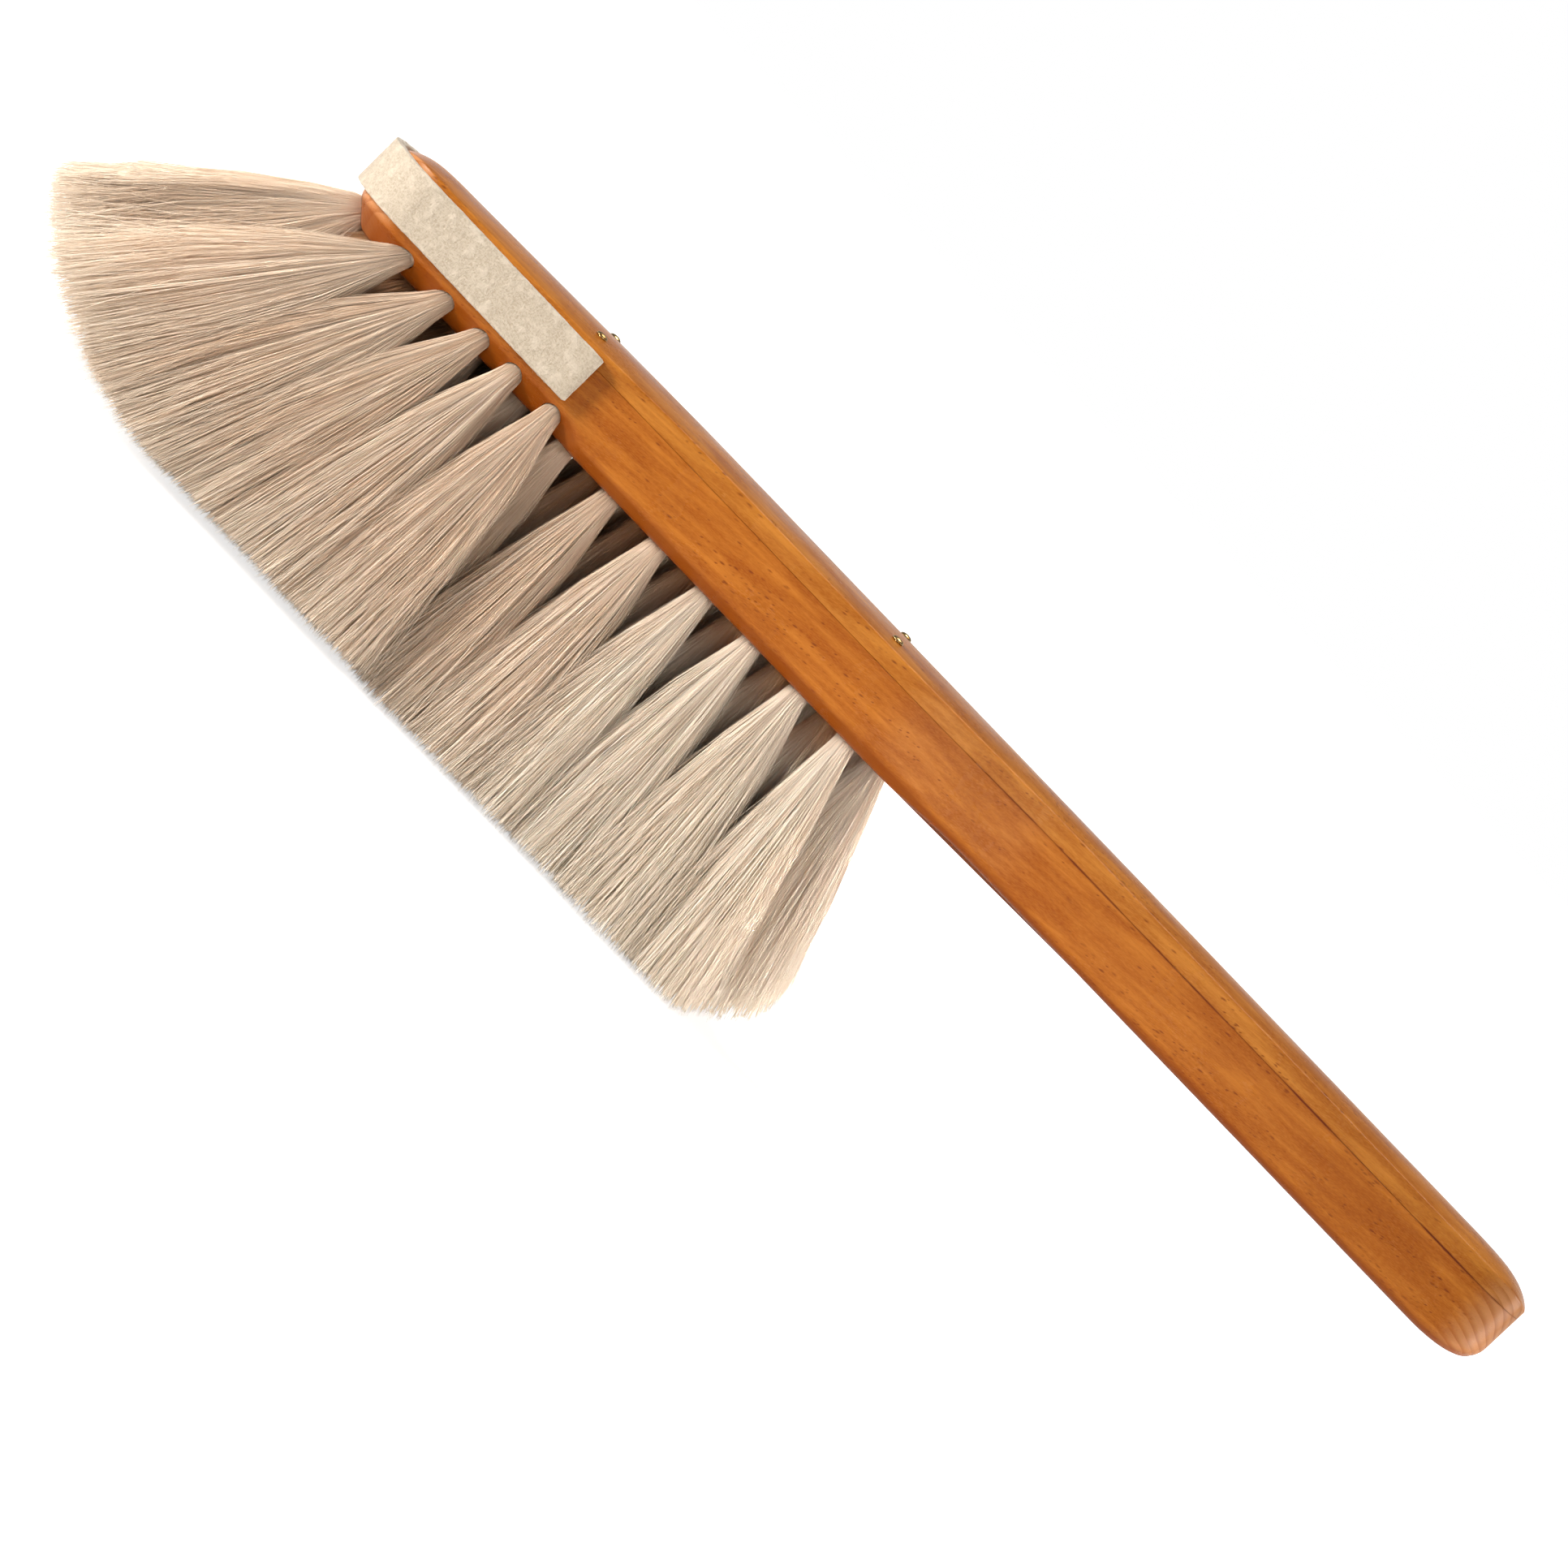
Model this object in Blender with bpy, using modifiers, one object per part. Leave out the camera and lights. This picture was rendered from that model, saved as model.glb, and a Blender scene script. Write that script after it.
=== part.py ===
"""Dusting brush: a long wooden stock with wire-drawn hair tufts and a felt strip round its nose.

Metres, +Z up. The brush stands on its hair tips at z = 0, its nose towards -X and its handle
towards +X. A station is a distance along the brush from the front of the felt. Left is -Y, the
side on the left hand of someone who holds the handle and looks towards the nose.
"""
import math

import bmesh
import bpy
from mathutils import Vector
from mathutils.geometry import tessellate_polygon

MM = 0.001

# Fits between pieces
FIT_GAP = 0.3 * MM            # left between pieces that touch on the real brush
HOLE_CLEARANCE = 0.35 * MM    # radial room round a tuft, a pin or a wire in its hole

# Wood, seen from above
BRUSH_LENGTH = 360 * MM       # front of the felt to the end of the handle
HEAD_HALF_WIDTH = 20 * MM
HANDLE_HALF_WIDTH = 14 * MM
NOSE_RADIUS = 15.7 * MM
TAPER_END = 68 * MM           # station where the head reaches its full width
NECK_START = 166 * MM
NECK_END = 214 * MM
TAIL_ROUND = 21 * MM          # length over which the handle's end is rounded in plan
TAIL_SQUARENESS = 2.5         # 2 would be an ellipse

# Wood, seen from the side
HAIR_HEIGHT = 67.3 * MM       # hair tips to the head's underside
LOWER_THICKNESS = 17.4 * MM
HANDLE_LIFT = 0.9 * MM        # the handle's underside lies this much higher than the head's
LIFT_START = 178 * MM
LIFT_END = 199 * MM
TAIL_LOWER_LENGTH = 16.7 * MM
TAIL_LOWER_RISE = 4.3 * MM
COVER_EDGE = 4.3 * MM         # height of the cover's straight side
HEAD_CROWN = 1.95 * MM
FRONT_CROWN = 2.4 * MM
HANDLE_CROWN = 2.1 * MM
FRONT_DIP = 0.8 * MM          # the cover's side edge comes down this much towards the nose
FRONT_DIP_START = 60 * MM
FRONT_DIP_END = 100 * MM
NOSE_DROP = 2.9 * MM
NOSE_DROP_LENGTH = 9 * MM
TAIL_DROP = 2.9 * MM
TAIL_DROP_LENGTH = 11 * MM

# Chamfer along the lower edge: a wide bevel round the nose, a small one behind it
BEVEL_WIDTH = 5.5 * MM
BEVEL_HEIGHT = 5.9 * MM
BEVEL_END = 73.5 * MM
BEVEL_FADE = 6 * MM
HEAD_CHAMFER_WIDTH = 3.0 * MM
HEAD_CHAMFER_HEIGHT = 3.2 * MM
HANDLE_CHAMFER = 2.0 * MM

# Tuft holes: a wide blind hole, and a narrow one for the wire above it
PLUG_RADIUS = 2.45 * MM       # hair bundle where it is folded and bound
HOLE_DEPTH = 9 * MM
RECESS_DEPTH = 1.2 * MM       # shallow pocket under the cover in which the wires run
RECESS_RIM = 4.5 * MM
RECESS_END = 178 * MM

# Rows of tufts
TUFT_PITCH = 14.9 * MM
OUTER_ROW_LAST = 166 * MM
OUTER_ROW_COUNT = 10
OUTER_ROW_OFFSET = 12.5 * MM
FRONT_ROW_INSET = 12.3 * MM   # outer rows run this far inside the outline beside the bevel
RIGHT_ROW_SHIFT = 3.9 * MM
OUTER_SPLAY = math.radians(7)
FRONT_SPLAY = math.radians(5)
CENTRE_ROW_FIRST = 15.2 * MM   # stands close behind the nose's hole
CENTRE_ROW_LAST = 174.6 * MM
CENTRE_ROW_COUNT = 12
BEVEL_STATIONS = (21.4 * MM, 34.9 * MM, 46.6 * MM, 57.2 * MM, 69.6 * MM)   # bored by eye, not quite evenly
BEVEL_END_SPREAD = 11.5 * MM  # the end tufts of the bevel spread this far past their own middles
BEVEL_SPLAY = math.radians(12)

# Lean of the hair: forward round the nose, a little back at the heel
NOSE_LEAN = math.radians(48)
NOSE_LEAN_END = 72 * MM
NOSE_LEAN_POWER = 1.3
MIDDLE_LEAN = math.radians(3)
MIDDLE_LEAN_STATION = 85 * MM
MIDDLE_LEAN_REACH = 37 * MM
HEEL_LEAN = math.radians(11)
HEEL_LEAN_START = 120 * MM
HEEL_LEAN_POWER = 1.5

# Where the trimmed hair ends
FRONT_REACH = 48 * MM         # hair tips stand this far ahead of the felt
NOSE_CELL_LENGTH = 14.6 * MM
NOSE_CELL_HALF = 13 * MM
HEEL_FLARE = 9.5 * MM         # the last middle tuft spreads this far behind its own middle
FRONT_TRIM_START = 20 * MM    # ahead of this station the trim rises in an arc
FRONT_TRIM_RADIUS = 87 * MM
HEEL_TRIM_START = 178 * MM
HEEL_TRIM_RADIUS = 21 * MM
FLAT_TRIM = 0.5 * MM          # the tips that stand on the table are cut flat this deep
BEVEL_TIP_RISE = 1.8 * MM
CENTRE_BAND = 8.8 * MM        # half width of the middle row at the tips
OUTER_BAND = 29.8 * MM
FRONT_BAND = 21.6 * MM
BEVEL_BAND = 37.5 * MM
BAND_GAP = 0.4 * MM

# Strands of one tuft, as shares of the bundle's radius
OUTER_STRANDS = 7
INNER_STRANDS = 3
OUTER_STRAND_PLACE = 0.66
OUTER_STRAND_SIZE = 0.27
INNER_STRAND_PLACE = 0.24
INNER_STRAND_SIZE = 0.19
MID_DROP = 0.45               # height share at which a strand is bent
MID_SPREAD = 0.62             # share of its spread that it has there
TIP_TAPER = 0.7
TIP_FILL = 1.0                # share of its cell that a tuft's tips reach
PLUG_SIDES = 8

# Drawing wire
WIRE_RADIUS = 0.25 * MM
WIRE_LEG_OFFSET = 0.5 * MM
WIRE_TAIL = 3 * MM

# Felt strip round the nose
FELT_THICKNESS = 3.0 * MM
FELT_HEIGHT = 12.5 * MM
FELT_BOTTOM = 7.6 * MM        # above the head's underside
FELT_END = 70 * MM

# Brass pins
PIN_STATIONS = (64.8 * MM, 158 * MM)
PIN_OFFSET = 12 * MM
PIN_LENGTH = 12 * MM
PIN_RADIUS = 0.75 * MM
PIN_HEAD_RADIUS = 1.55 * MM
PIN_HEAD_HEIGHT = 0.75 * MM
PIN_POINT = 1.5 * MM

# Smoothness
NOSE_STEPS = 8
NECK_STEPS = 6
TAIL_STEPS = 7
CROWN_SHARES = (0.82, 0.55, 0.28, 0.0)
HOLE_SIDES = 8
PIN_SIDES = 10

# Heights and stations that follow from the sizes above
WOOD_START = FELT_THICKNESS + FIT_GAP
SEAM_HEIGHT = HAIR_HEIGHT + LOWER_THICKNESS
COVER_BOTTOM = SEAM_HEIGHT + FIT_GAP
RECESS_FLOOR = SEAM_HEIGHT - RECESS_DEPTH
NOSE_CENTRE = WOOD_START + NOSE_RADIUS
TAIL_START = BRUSH_LENGTH - TAIL_ROUND
HOLE_RADIUS = PLUG_RADIUS + HOLE_CLEARANCE
WIRE_HOLE_RADIUS = WIRE_LEG_OFFSET + WIRE_RADIUS + HOLE_CLEARANCE
TAPER_RUN = TAPER_END - NOSE_CENTRE
TAPER_ANGLE = (math.atan2(HEAD_HALF_WIDTH, TAPER_RUN)
               - math.asin(NOSE_RADIUS / math.hypot(TAPER_RUN, HEAD_HALF_WIDTH)))


def ramp(station, start, end, low, high):
    """A value that eases from low at start to high at end."""
    share = min(max((station - start) / (end - start), 0.0), 1.0)
    return low + (high - low) * share * share * (3 - 2 * share)


def corner(distance, length, height):
    """Fall of a quarter-ellipse corner, at a distance from where the corner ends."""
    share = min(max(1 - distance / length, 0.0), 1.0)
    return height * (1 - math.sqrt(1 - share * share))


def half_width(station):
    """Half the plan width of the wood."""
    if station < NOSE_CENTRE - NOSE_RADIUS * math.sin(TAPER_ANGLE):
        return math.sqrt(max(NOSE_RADIUS ** 2 - (NOSE_CENTRE - station) ** 2, 0.0))
    if station < TAPER_END:
        return HEAD_HALF_WIDTH - (TAPER_END - station) * math.tan(TAPER_ANGLE)
    if station < TAIL_START:
        return ramp(station, NECK_START, NECK_END, HEAD_HALF_WIDTH, HANDLE_HALF_WIDTH)
    share = min((station - TAIL_START) / TAIL_ROUND, 1.0)
    return HANDLE_HALF_WIDTH * (1 - share ** TAIL_SQUARENESS) ** (1 / TAIL_SQUARENESS)


def underside(station):
    """Height of the wood's flat underside."""
    lift = ramp(station, LIFT_START, LIFT_END, 0.0, HANDLE_LIFT)
    tail = corner(BRUSH_LENGTH - station, TAIL_LOWER_LENGTH, TAIL_LOWER_RISE)
    return HAIR_HEIGHT + lift + tail


def chamfer_size(station):
    """Width and height of the chamfer along the lower edge."""
    fade_end = BEVEL_END + BEVEL_FADE
    if station < fade_end:
        return (ramp(station, BEVEL_END, fade_end, BEVEL_WIDTH, HEAD_CHAMFER_WIDTH),
                ramp(station, BEVEL_END, fade_end, BEVEL_HEIGHT, HEAD_CHAMFER_HEIGHT))
    return (ramp(station, LIFT_START, LIFT_END, HEAD_CHAMFER_WIDTH, HANDLE_CHAMFER),
            ramp(station, LIFT_START, LIFT_END, HEAD_CHAMFER_HEIGHT, HANDLE_CHAMFER))


def cover_edge(station):
    """Height of the edge between the cover's side and its crowned back."""
    dip = ramp(station, FRONT_DIP_START, FRONT_DIP_END, FRONT_DIP, 0.0)
    nose = corner(station - WOOD_START, NOSE_DROP_LENGTH, NOSE_DROP)
    tail = corner(BRUSH_LENGTH - station, TAIL_DROP_LENGTH, TAIL_DROP)
    return COVER_BOTTOM + COVER_EDGE - dip - nose - tail


def cover_top(station, across):
    """Height of the crowned back; across runs from 0 on the middle line to 1 at the edge."""
    crown = ramp(station, FRONT_DIP_START, FRONT_DIP_END, FRONT_CROWN, HEAD_CROWN)
    crown += ramp(station, NECK_START, NECK_END, 0.0, HANDLE_CROWN - HEAD_CROWN)
    if station < TAPER_END:
        crown *= (half_width(station) / HEAD_HALF_WIDTH) ** 2
    if station > TAIL_START:
        crown *= (half_width(station) / HANDLE_HALF_WIDTH) ** 2
    return cover_edge(station) + crown * (1 - across * across)


def half_outline():
    """Plan outline of the wood from the nose to the tail, on the +Y side."""
    points = []
    for step in range(NOSE_STEPS + 1):
        turn = math.pi - (math.pi / 2 - TAPER_ANGLE) * step / NOSE_STEPS
        points.append(Vector((NOSE_CENTRE + NOSE_RADIUS * math.cos(turn), NOSE_RADIUS * math.sin(turn))))
    stations = [45 * MM, TAPER_END, BEVEL_END]
    stations += [BEVEL_END + BEVEL_FADE * share for share in (0.35, 0.65, 1.0)]
    stations += [FRONT_DIP_END, NECK_START]
    stations += [NECK_START + (NECK_END - NECK_START) * step / NECK_STEPS for step in range(1, NECK_STEPS + 1)]
    stations += [TAIL_START]
    points += [Vector((station, half_width(station))) for station in stations]
    for step in range(1, TAIL_STEPS + 1):
        turn = math.pi / 2 * step / TAIL_STEPS
        along = math.sin(turn) ** (2 / TAIL_SQUARENESS)
        aside = max(math.cos(turn), 0.0) ** (2 / TAIL_SQUARENESS) if step < TAIL_STEPS else 0.0
        points.append(Vector((TAIL_START + TAIL_ROUND * along, HANDLE_HALF_WIDTH * aside)))
    points[0].y = 0.0
    return points


def inward_normals(points):
    """Unit normals of a half outline, pointing into the wood."""
    normals = []
    for index, _ in enumerate(points):
        if index == 0:
            normals.append(Vector((1.0, 0.0)))
        elif index == len(points) - 1:
            normals.append(Vector((-1.0, 0.0)))
        else:
            along = ((points[index] - points[index - 1]).normalized()
                     + (points[index + 1] - points[index]).normalized()).normalized()
            normals.append(Vector((along.y, -along.x)))
    return normals


def mirrored_body(rows):
    """Closed body from rows of points over the +Y half; each row starts and ends at y = 0."""
    shape = bmesh.new()
    grid = [[shape.verts.new(point) for point in row] for row in rows]
    for row, following in zip(grid, grid[1:]):
        for low in range(len(row) - 1):
            shape.faces.new((row[low], row[low + 1], following[low + 1], following[low]))
    bmesh.ops.remove_doubles(shape, verts=shape.verts[:], dist=0.001 * MM)
    bmesh.ops.mirror(shape, geom=shape.verts[:] + shape.edges[:] + shape.faces[:], axis='Y', merge_dist=0.001 * MM)
    bmesh.ops.recalc_face_normals(shape, faces=shape.faces[:])
    bmesh.ops.dissolve_limit(shape, angle_limit=math.radians(0.02), verts=shape.verts[:], edges=shape.edges[:])
    return shape


def add_mesh(name, shape, collection, material=None):
    """Object that holds a bmesh."""
    mesh = bpy.data.meshes.new(name)
    shape.to_mesh(mesh)
    shape.free()
    item = bpy.data.objects.new(name, mesh)
    collection.objects.link(item)
    if material:
        mesh.materials.append(material)
    return item


def turned(profile, sides):
    """Closed turned body; the profile lists radius and height from one end of the Z axis to the other."""
    shape = bmesh.new()
    verts = [shape.verts.new((radius, 0.0, height)) for radius, height in profile]
    edges = [shape.edges.new(pair) for pair in zip(verts, verts[1:])]
    bmesh.ops.spin(shape, geom=verts + edges, cent=(0, 0, 0), axis=(0, 0, 1), angle=2 * math.pi,
                   steps=sides, use_merge=True)
    bmesh.ops.remove_doubles(shape, verts=shape.verts[:], dist=0.001 * MM)
    bmesh.ops.recalc_face_normals(shape, faces=shape.faces[:])
    return shape


def stepped_cutter(name, mouth, axis, collection):
    """Cutter for one tuft hole: wide below, narrow above, up into the wire recess."""
    wide = HOLE_RADIUS / math.cos(math.pi / HOLE_SIDES)
    narrow = WIRE_HOLE_RADIUS / math.cos(math.pi / HOLE_SIDES)
    length = wire_hole_length(mouth, axis) + RECESS_DEPTH / 2
    outside = BEVEL_WIDTH
    shape = turned([(0, -outside), (wide, -outside), (wide, HOLE_DEPTH), (narrow, HOLE_DEPTH),
                    (narrow, length), (0, length)], HOLE_SIDES)
    cutter = add_mesh(name, shape, collection)
    cutter.rotation_mode = 'QUATERNION'
    cutter.rotation_quaternion = (-axis).to_track_quat('Z', 'Y')
    cutter.location = mouth
    hide_cutter(cutter)


def hide_cutter(cutter):
    """Keep a cutter out of the model."""
    cutter.hide_render = True
    cutter.display_type = 'WIRE'


def wire_hole_length(mouth, axis):
    """Distance along a hole from its mouth up to the recess floor."""
    return (RECESS_FLOOR - mouth.z) / -axis.z


def cut(item, collection):
    """Cut a whole collection of cutters out of an object."""
    boolean = item.modifiers.new("holes", 'BOOLEAN')
    boolean.operation = 'DIFFERENCE'
    boolean.operand_type = 'COLLECTION'
    boolean.collection = collection
    boolean.solver = 'EXACT'


def front_lean(station):
    """Forward lean of the hair round the nose."""
    share = max((NOSE_LEAN_END - station) / (NOSE_LEAN_END - WOOD_START - BEVEL_WIDTH / 2), 0.0)
    return NOSE_LEAN * share ** NOSE_LEAN_POWER


def row_lean(station):
    """Lean of the hair along the underside; forward is positive."""
    middle = MIDDLE_LEAN * max(1 - ((station - MIDDLE_LEAN_STATION) / MIDDLE_LEAN_REACH) ** 2, 0.0)
    share = max((station - HEEL_LEAN_START) / (CENTRE_ROW_LAST - HEEL_LEAN_START), 0.0)
    return front_lean(station) + middle - HEEL_LEAN * share ** HEEL_LEAN_POWER


def trim_height(station):
    """Height at which the trimmed hair ends."""
    ahead = max(FRONT_TRIM_START - station, 0.0)
    behind = max(station - HEEL_TRIM_START, 0.0)
    rounded = ahead ** 2 / (2 * FRONT_TRIM_RADIUS) + behind ** 2 / (2 * HEEL_TRIM_RADIUS)
    return max(rounded - FLAT_TRIM, 0.0)


class Tuft:
    """One bundle of hair: where its hole opens, its direction, and the cell that its tips fill."""

    def __init__(self, name, station, side, lean, splay, on_bevel):
        self.name = name
        self.side = side
        self.on_bevel = on_bevel
        if on_bevel:
            aside = half_width(station) - BEVEL_WIDTH / 2
            height = HAIR_HEIGHT + BEVEL_HEIGHT / 2
        elif side and station < BEVEL_END:
            aside = half_width(station) - FRONT_ROW_INSET
            height = HAIR_HEIGHT
        else:
            aside = OUTER_ROW_OFFSET
            height = HAIR_HEIGHT
        if side == 0:
            aside = 0.0
        self.mouth = Vector((station, side * aside, height))
        self.axis = Vector((-math.tan(lean), side * math.tan(splay), -1.0)).normalized()
        self.tip_station = self.meet_trim(math.tan(lean))
        self.cell = None

    def meet_trim(self, slope):
        """Station where the tuft's middle line meets the trim surface."""
        near, far = self.mouth.x, self.mouth.x - slope * self.mouth.z
        for _ in range(40):
            middle = (near + far) / 2
            drop = self.mouth.z - trim_height(middle)
            if abs(middle - self.mouth.x) < abs(slope) * drop:
                near = middle
            else:
                far = middle
        return (near + far) / 2

    def set_cell(self, front, back, inner, outer):
        """Set the patch of the trim surface that the tips fill: stations, then distances aside."""
        self.cell = (front, back, inner, outer)

    def tip(self, along, aside):
        """Point of the cell; along and aside run from -1 to 1."""
        front, back, inner, outer = self.cell
        station = (back + front) / 2 + along * (back - front) / 2
        middle = (inner + outer) / 2 * (self.side or 1)
        rise = BEVEL_TIP_RISE if self.on_bevel and self.side else 0.0
        return Vector((station, middle + aside * (outer - inner) / 2, trim_height(station) + rise))


def split_cells(row, first_front, last_back, band):
    """Share the length of a row's tips among its tufts, at the midpoints between them."""
    edges = [first_front]
    edges += [(one.tip_station + two.tip_station) / 2 for one, two in zip(row, row[1:])]
    edges.append(last_back)
    for tuft, front, back in zip(row, edges, edges[1:]):
        inner, outer = band(tuft)
        tuft.set_cell(front + BAND_GAP / 2, back - BAND_GAP / 2, inner, outer)


def outer_band(tuft):
    """Distances aside that an outer row's tips lie between."""
    beside_bevel = tuft.mouth.x < BEVEL_END + TUFT_PITCH / 2
    return CENTRE_BAND + BAND_GAP, FRONT_BAND if beside_bevel else OUTER_BAND


def make_rows():
    """All tufts, row by row, each row in the order in which its wire runs."""
    centre = []
    for place in range(CENTRE_ROW_COUNT):
        station = CENTRE_ROW_LAST - TUFT_PITCH * (CENTRE_ROW_COUNT - 1 - place) if place else CENTRE_ROW_FIRST
        centre.append(Tuft(f"tuft_centre_{place + 1:02d}", station, 0, row_lean(station), 0.0, False))
    nose_back = NOSE_CELL_LENGTH - FRONT_REACH
    split_cells(centre, nose_back, centre[-1].tip_station + HEEL_FLARE, lambda tuft: (-CENTRE_BAND, CENTRE_BAND))

    rows = {"centre": centre}
    for label, side, shift in (("left", -1, 0.0), ("right", 1, RIGHT_ROW_SHIFT)):
        outer = []
        for place in range(OUTER_ROW_COUNT):
            station = OUTER_ROW_LAST + shift - TUFT_PITCH * (OUTER_ROW_COUNT - 1 - place)
            splay = FRONT_SPLAY if station < BEVEL_END else OUTER_SPLAY
            outer.append(Tuft(f"tuft_outer_{label}_{place + 1:02d}", station, side, row_lean(station), splay, False))
        first, last = outer[0].tip_station, outer[-1].tip_station
        split_cells(outer, first - TUFT_PITCH / 2, last + TUFT_PITCH / 2, outer_band)
        rows["outer_" + label] = outer

    nose_station = WOOD_START + BEVEL_WIDTH / 2
    nose = Tuft("tuft_nose", nose_station, 0, NOSE_LEAN, 0.0, True)
    nose.set_cell(-FRONT_REACH, nose_back - BAND_GAP / 2, -NOSE_CELL_HALF, NOSE_CELL_HALF)
    arms = {}
    for label, side in (("left", -1), ("right", 1)):
        arm = []
        for place, station in enumerate(BEVEL_STATIONS, 1):
            arm.append(Tuft(f"tuft_front_{label}_{place}", station, side, front_lean(station), BEVEL_SPLAY, True))
        first, last = arm[0].tip_station, arm[-1].tip_station
        split_cells(arm, first - BEVEL_END_SPREAD, last + BEVEL_END_SPREAD * 0.8,
                    lambda tuft: (FRONT_BAND + BAND_GAP, BEVEL_BAND))
        arms[label] = arm
    rows["front"] = arms["left"][::-1] + [nose] + arms["right"]
    return rows


def strand_triangles():
    """Sections of a tuft's strands as unit-circle triangles, each with its centre."""
    places = [(OUTER_STRAND_PLACE, OUTER_STRAND_SIZE, 2 * math.pi * step / OUTER_STRANDS)
              for step in range(OUTER_STRANDS)]
    places += [(INNER_STRAND_PLACE, INNER_STRAND_SIZE, 2 * math.pi * (step + 0.5) / INNER_STRANDS)
               for step in range(INNER_STRANDS)]
    strands = []
    for radius, size, turn in places:
        centre = Vector((radius * math.cos(turn), radius * math.sin(turn)))
        corners = [centre + Vector((size * math.cos(turn + part), size * math.sin(turn + part)))
                   for part in (math.pi, -math.pi / 3, math.pi / 3)]
        strands.append((centre, corners))
    return strands


def tuft_shape(tuft):
    """Tuft as one body: the bound root in its hole, and strands that flare out of its lower face.

    The root's lower face is a flat disc with one opening for each strand, and each strand is a
    loft from its opening through a bend to its trimmed tip.
    """
    along = Vector((1, 0, 0))
    along = (along - along.project(tuft.axis)).normalized()
    aside = Vector((0, 1, 0))
    aside = (aside - aside.project(tuft.axis)).normalized()
    surface = Vector((0, 0, -1))
    if tuft.on_bevel:
        outward = Vector((-1, 0)) if tuft.side == 0 else Vector((0, tuft.side))
        surface = Vector((outward.x * BEVEL_HEIGHT, outward.y * BEVEL_HEIGHT, -BEVEL_WIDTH)).normalized()
    tilt = surface.angle(tuft.axis)
    face_centre = tuft.mouth + tuft.axis * (PLUG_RADIUS * math.tan(tilt))
    root_length = HOLE_DEPTH - FIT_GAP + PLUG_RADIUS * math.tan(tilt)
    tip_size = OUTER_STRAND_SIZE * TIP_TAPER
    fill = TIP_FILL / Vector((OUTER_STRAND_PLACE + tip_size / 2, tip_size * math.sqrt(0.75))).length
    tip_centre = tuft.tip(0, 0)

    def root_point(place):
        return face_centre + (along * place.x + aside * place.y) * PLUG_RADIUS

    shape = bmesh.new()
    rim_places = [Vector((math.cos(turn), math.sin(turn)))
                  for turn in (2 * math.pi * (side + 0.5) / PLUG_SIDES for side in range(PLUG_SIDES))]
    rim = [shape.verts.new(root_point(place)) for place in rim_places]
    top = [shape.verts.new(vert.co - tuft.axis * root_length) for vert in rim]
    shape.faces.new(top)
    for low in range(PLUG_SIDES):
        high = (low + 1) % PLUG_SIDES
        shape.faces.new((rim[low], rim[high], top[high], top[low]))

    loops = [[Vector((place.x, place.y, 0)) for place in rim_places]]
    face_verts = list(rim)
    for centre, corners in strand_triangles():
        root = [root_point(place) for place in corners]
        end = [tuft.tip(*(centre + (place - centre) * TIP_TAPER) * fill) for place in corners]
        full = [tuft.tip(*place * fill) for place in corners]
        middle = face_centre.lerp(tip_centre, MID_DROP)
        middle.y = face_centre.y + (tip_centre.y - face_centre.y) * MID_SPREAD
        bend = []
        for start, target in zip(root, full):
            point = middle + (start - face_centre).lerp(target - tip_centre, MID_SPREAD)
            point.z = start.z + (target.z - start.z) * MID_DROP
            bend.append(point)
        rings = [[shape.verts.new(point) for point in ring] for ring in (root, bend, end)]
        for ring, following in zip(rings, rings[1:]):
            for low in range(3):
                high = (low + 1) % 3
                shape.faces.new((ring[low], ring[high], following[high], following[low]))
        shape.faces.new(rings[-1])
        loops.append([Vector((place.x, place.y, 0)) for place in corners])
        face_verts += rings[0]
    for corners in tessellate_polygon(loops):
        shape.faces.new([face_verts[index] for index in corners])
    bmesh.ops.recalc_face_normals(shape, faces=shape.faces[:])
    return shape


def wire_path(row):
    """Centre line of one drawing wire: along the recess, with a loop down into each wire hole."""
    height = RECESS_FLOOR + FIT_GAP + WIRE_RADIUS
    exits = [tuft.mouth - tuft.axis * wire_hole_length(tuft.mouth, tuft.axis) for tuft in row]
    points = []
    for index, (tuft, place) in enumerate(zip(row, exits)):
        before = exits[max(index - 1, 0)]
        after = exits[min(index + 1, len(exits) - 1)]
        along = (after - before).normalized()
        depth = wire_hole_length(tuft.mouth, tuft.axis) - HOLE_DEPTH - FIT_GAP - WIRE_RADIUS
        for leg in (-1, 1):
            top = place + along * (leg * WIRE_LEG_OFFSET)
            foot = top + tuft.axis * depth
            top.z = height
            points += [top, foot] if leg < 0 else [foot, top]
    run = (points[3] - points[0]).normalized()
    last_run = (points[-1] - points[-4]).normalized()
    return [points[0] - run * WIRE_TAIL] + points + [points[-1] + last_run * WIRE_TAIL]


def add_wire(name, row, collection, material):
    """Drawing wire as a round tube along its path."""
    path = wire_path(row)
    curve = bpy.data.curves.new(name, 'CURVE')
    curve.dimensions = '3D'
    curve.bevel_depth = WIRE_RADIUS
    curve.bevel_resolution = 1
    curve.use_fill_caps = True
    spline = curve.splines.new('POLY')
    spline.points.add(len(path) - 1)
    for point, place in zip(spline.points, path):
        point.co = (place.x, place.y, place.z, 1)
    curve.materials.append(material)
    item = bpy.data.objects.new(name, curve)
    collection.objects.link(item)
    return item


def lower_board_shape(points, normals):
    """Head and handle below the seam."""
    rows = []
    for point, normal in zip(points, normals):
        width, height = chamfer_size(point.x)
        foot = point + normal * width
        rows.append([
            Vector((foot.x, 0, underside(foot.x))),
            Vector((foot.x, foot.y, underside(foot.x))),
            Vector((point.x, point.y, underside(point.x) + height)),
            Vector((point.x, point.y, SEAM_HEIGHT)),
            Vector((point.x, 0, SEAM_HEIGHT))])
    return mirrored_body(rows)


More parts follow.
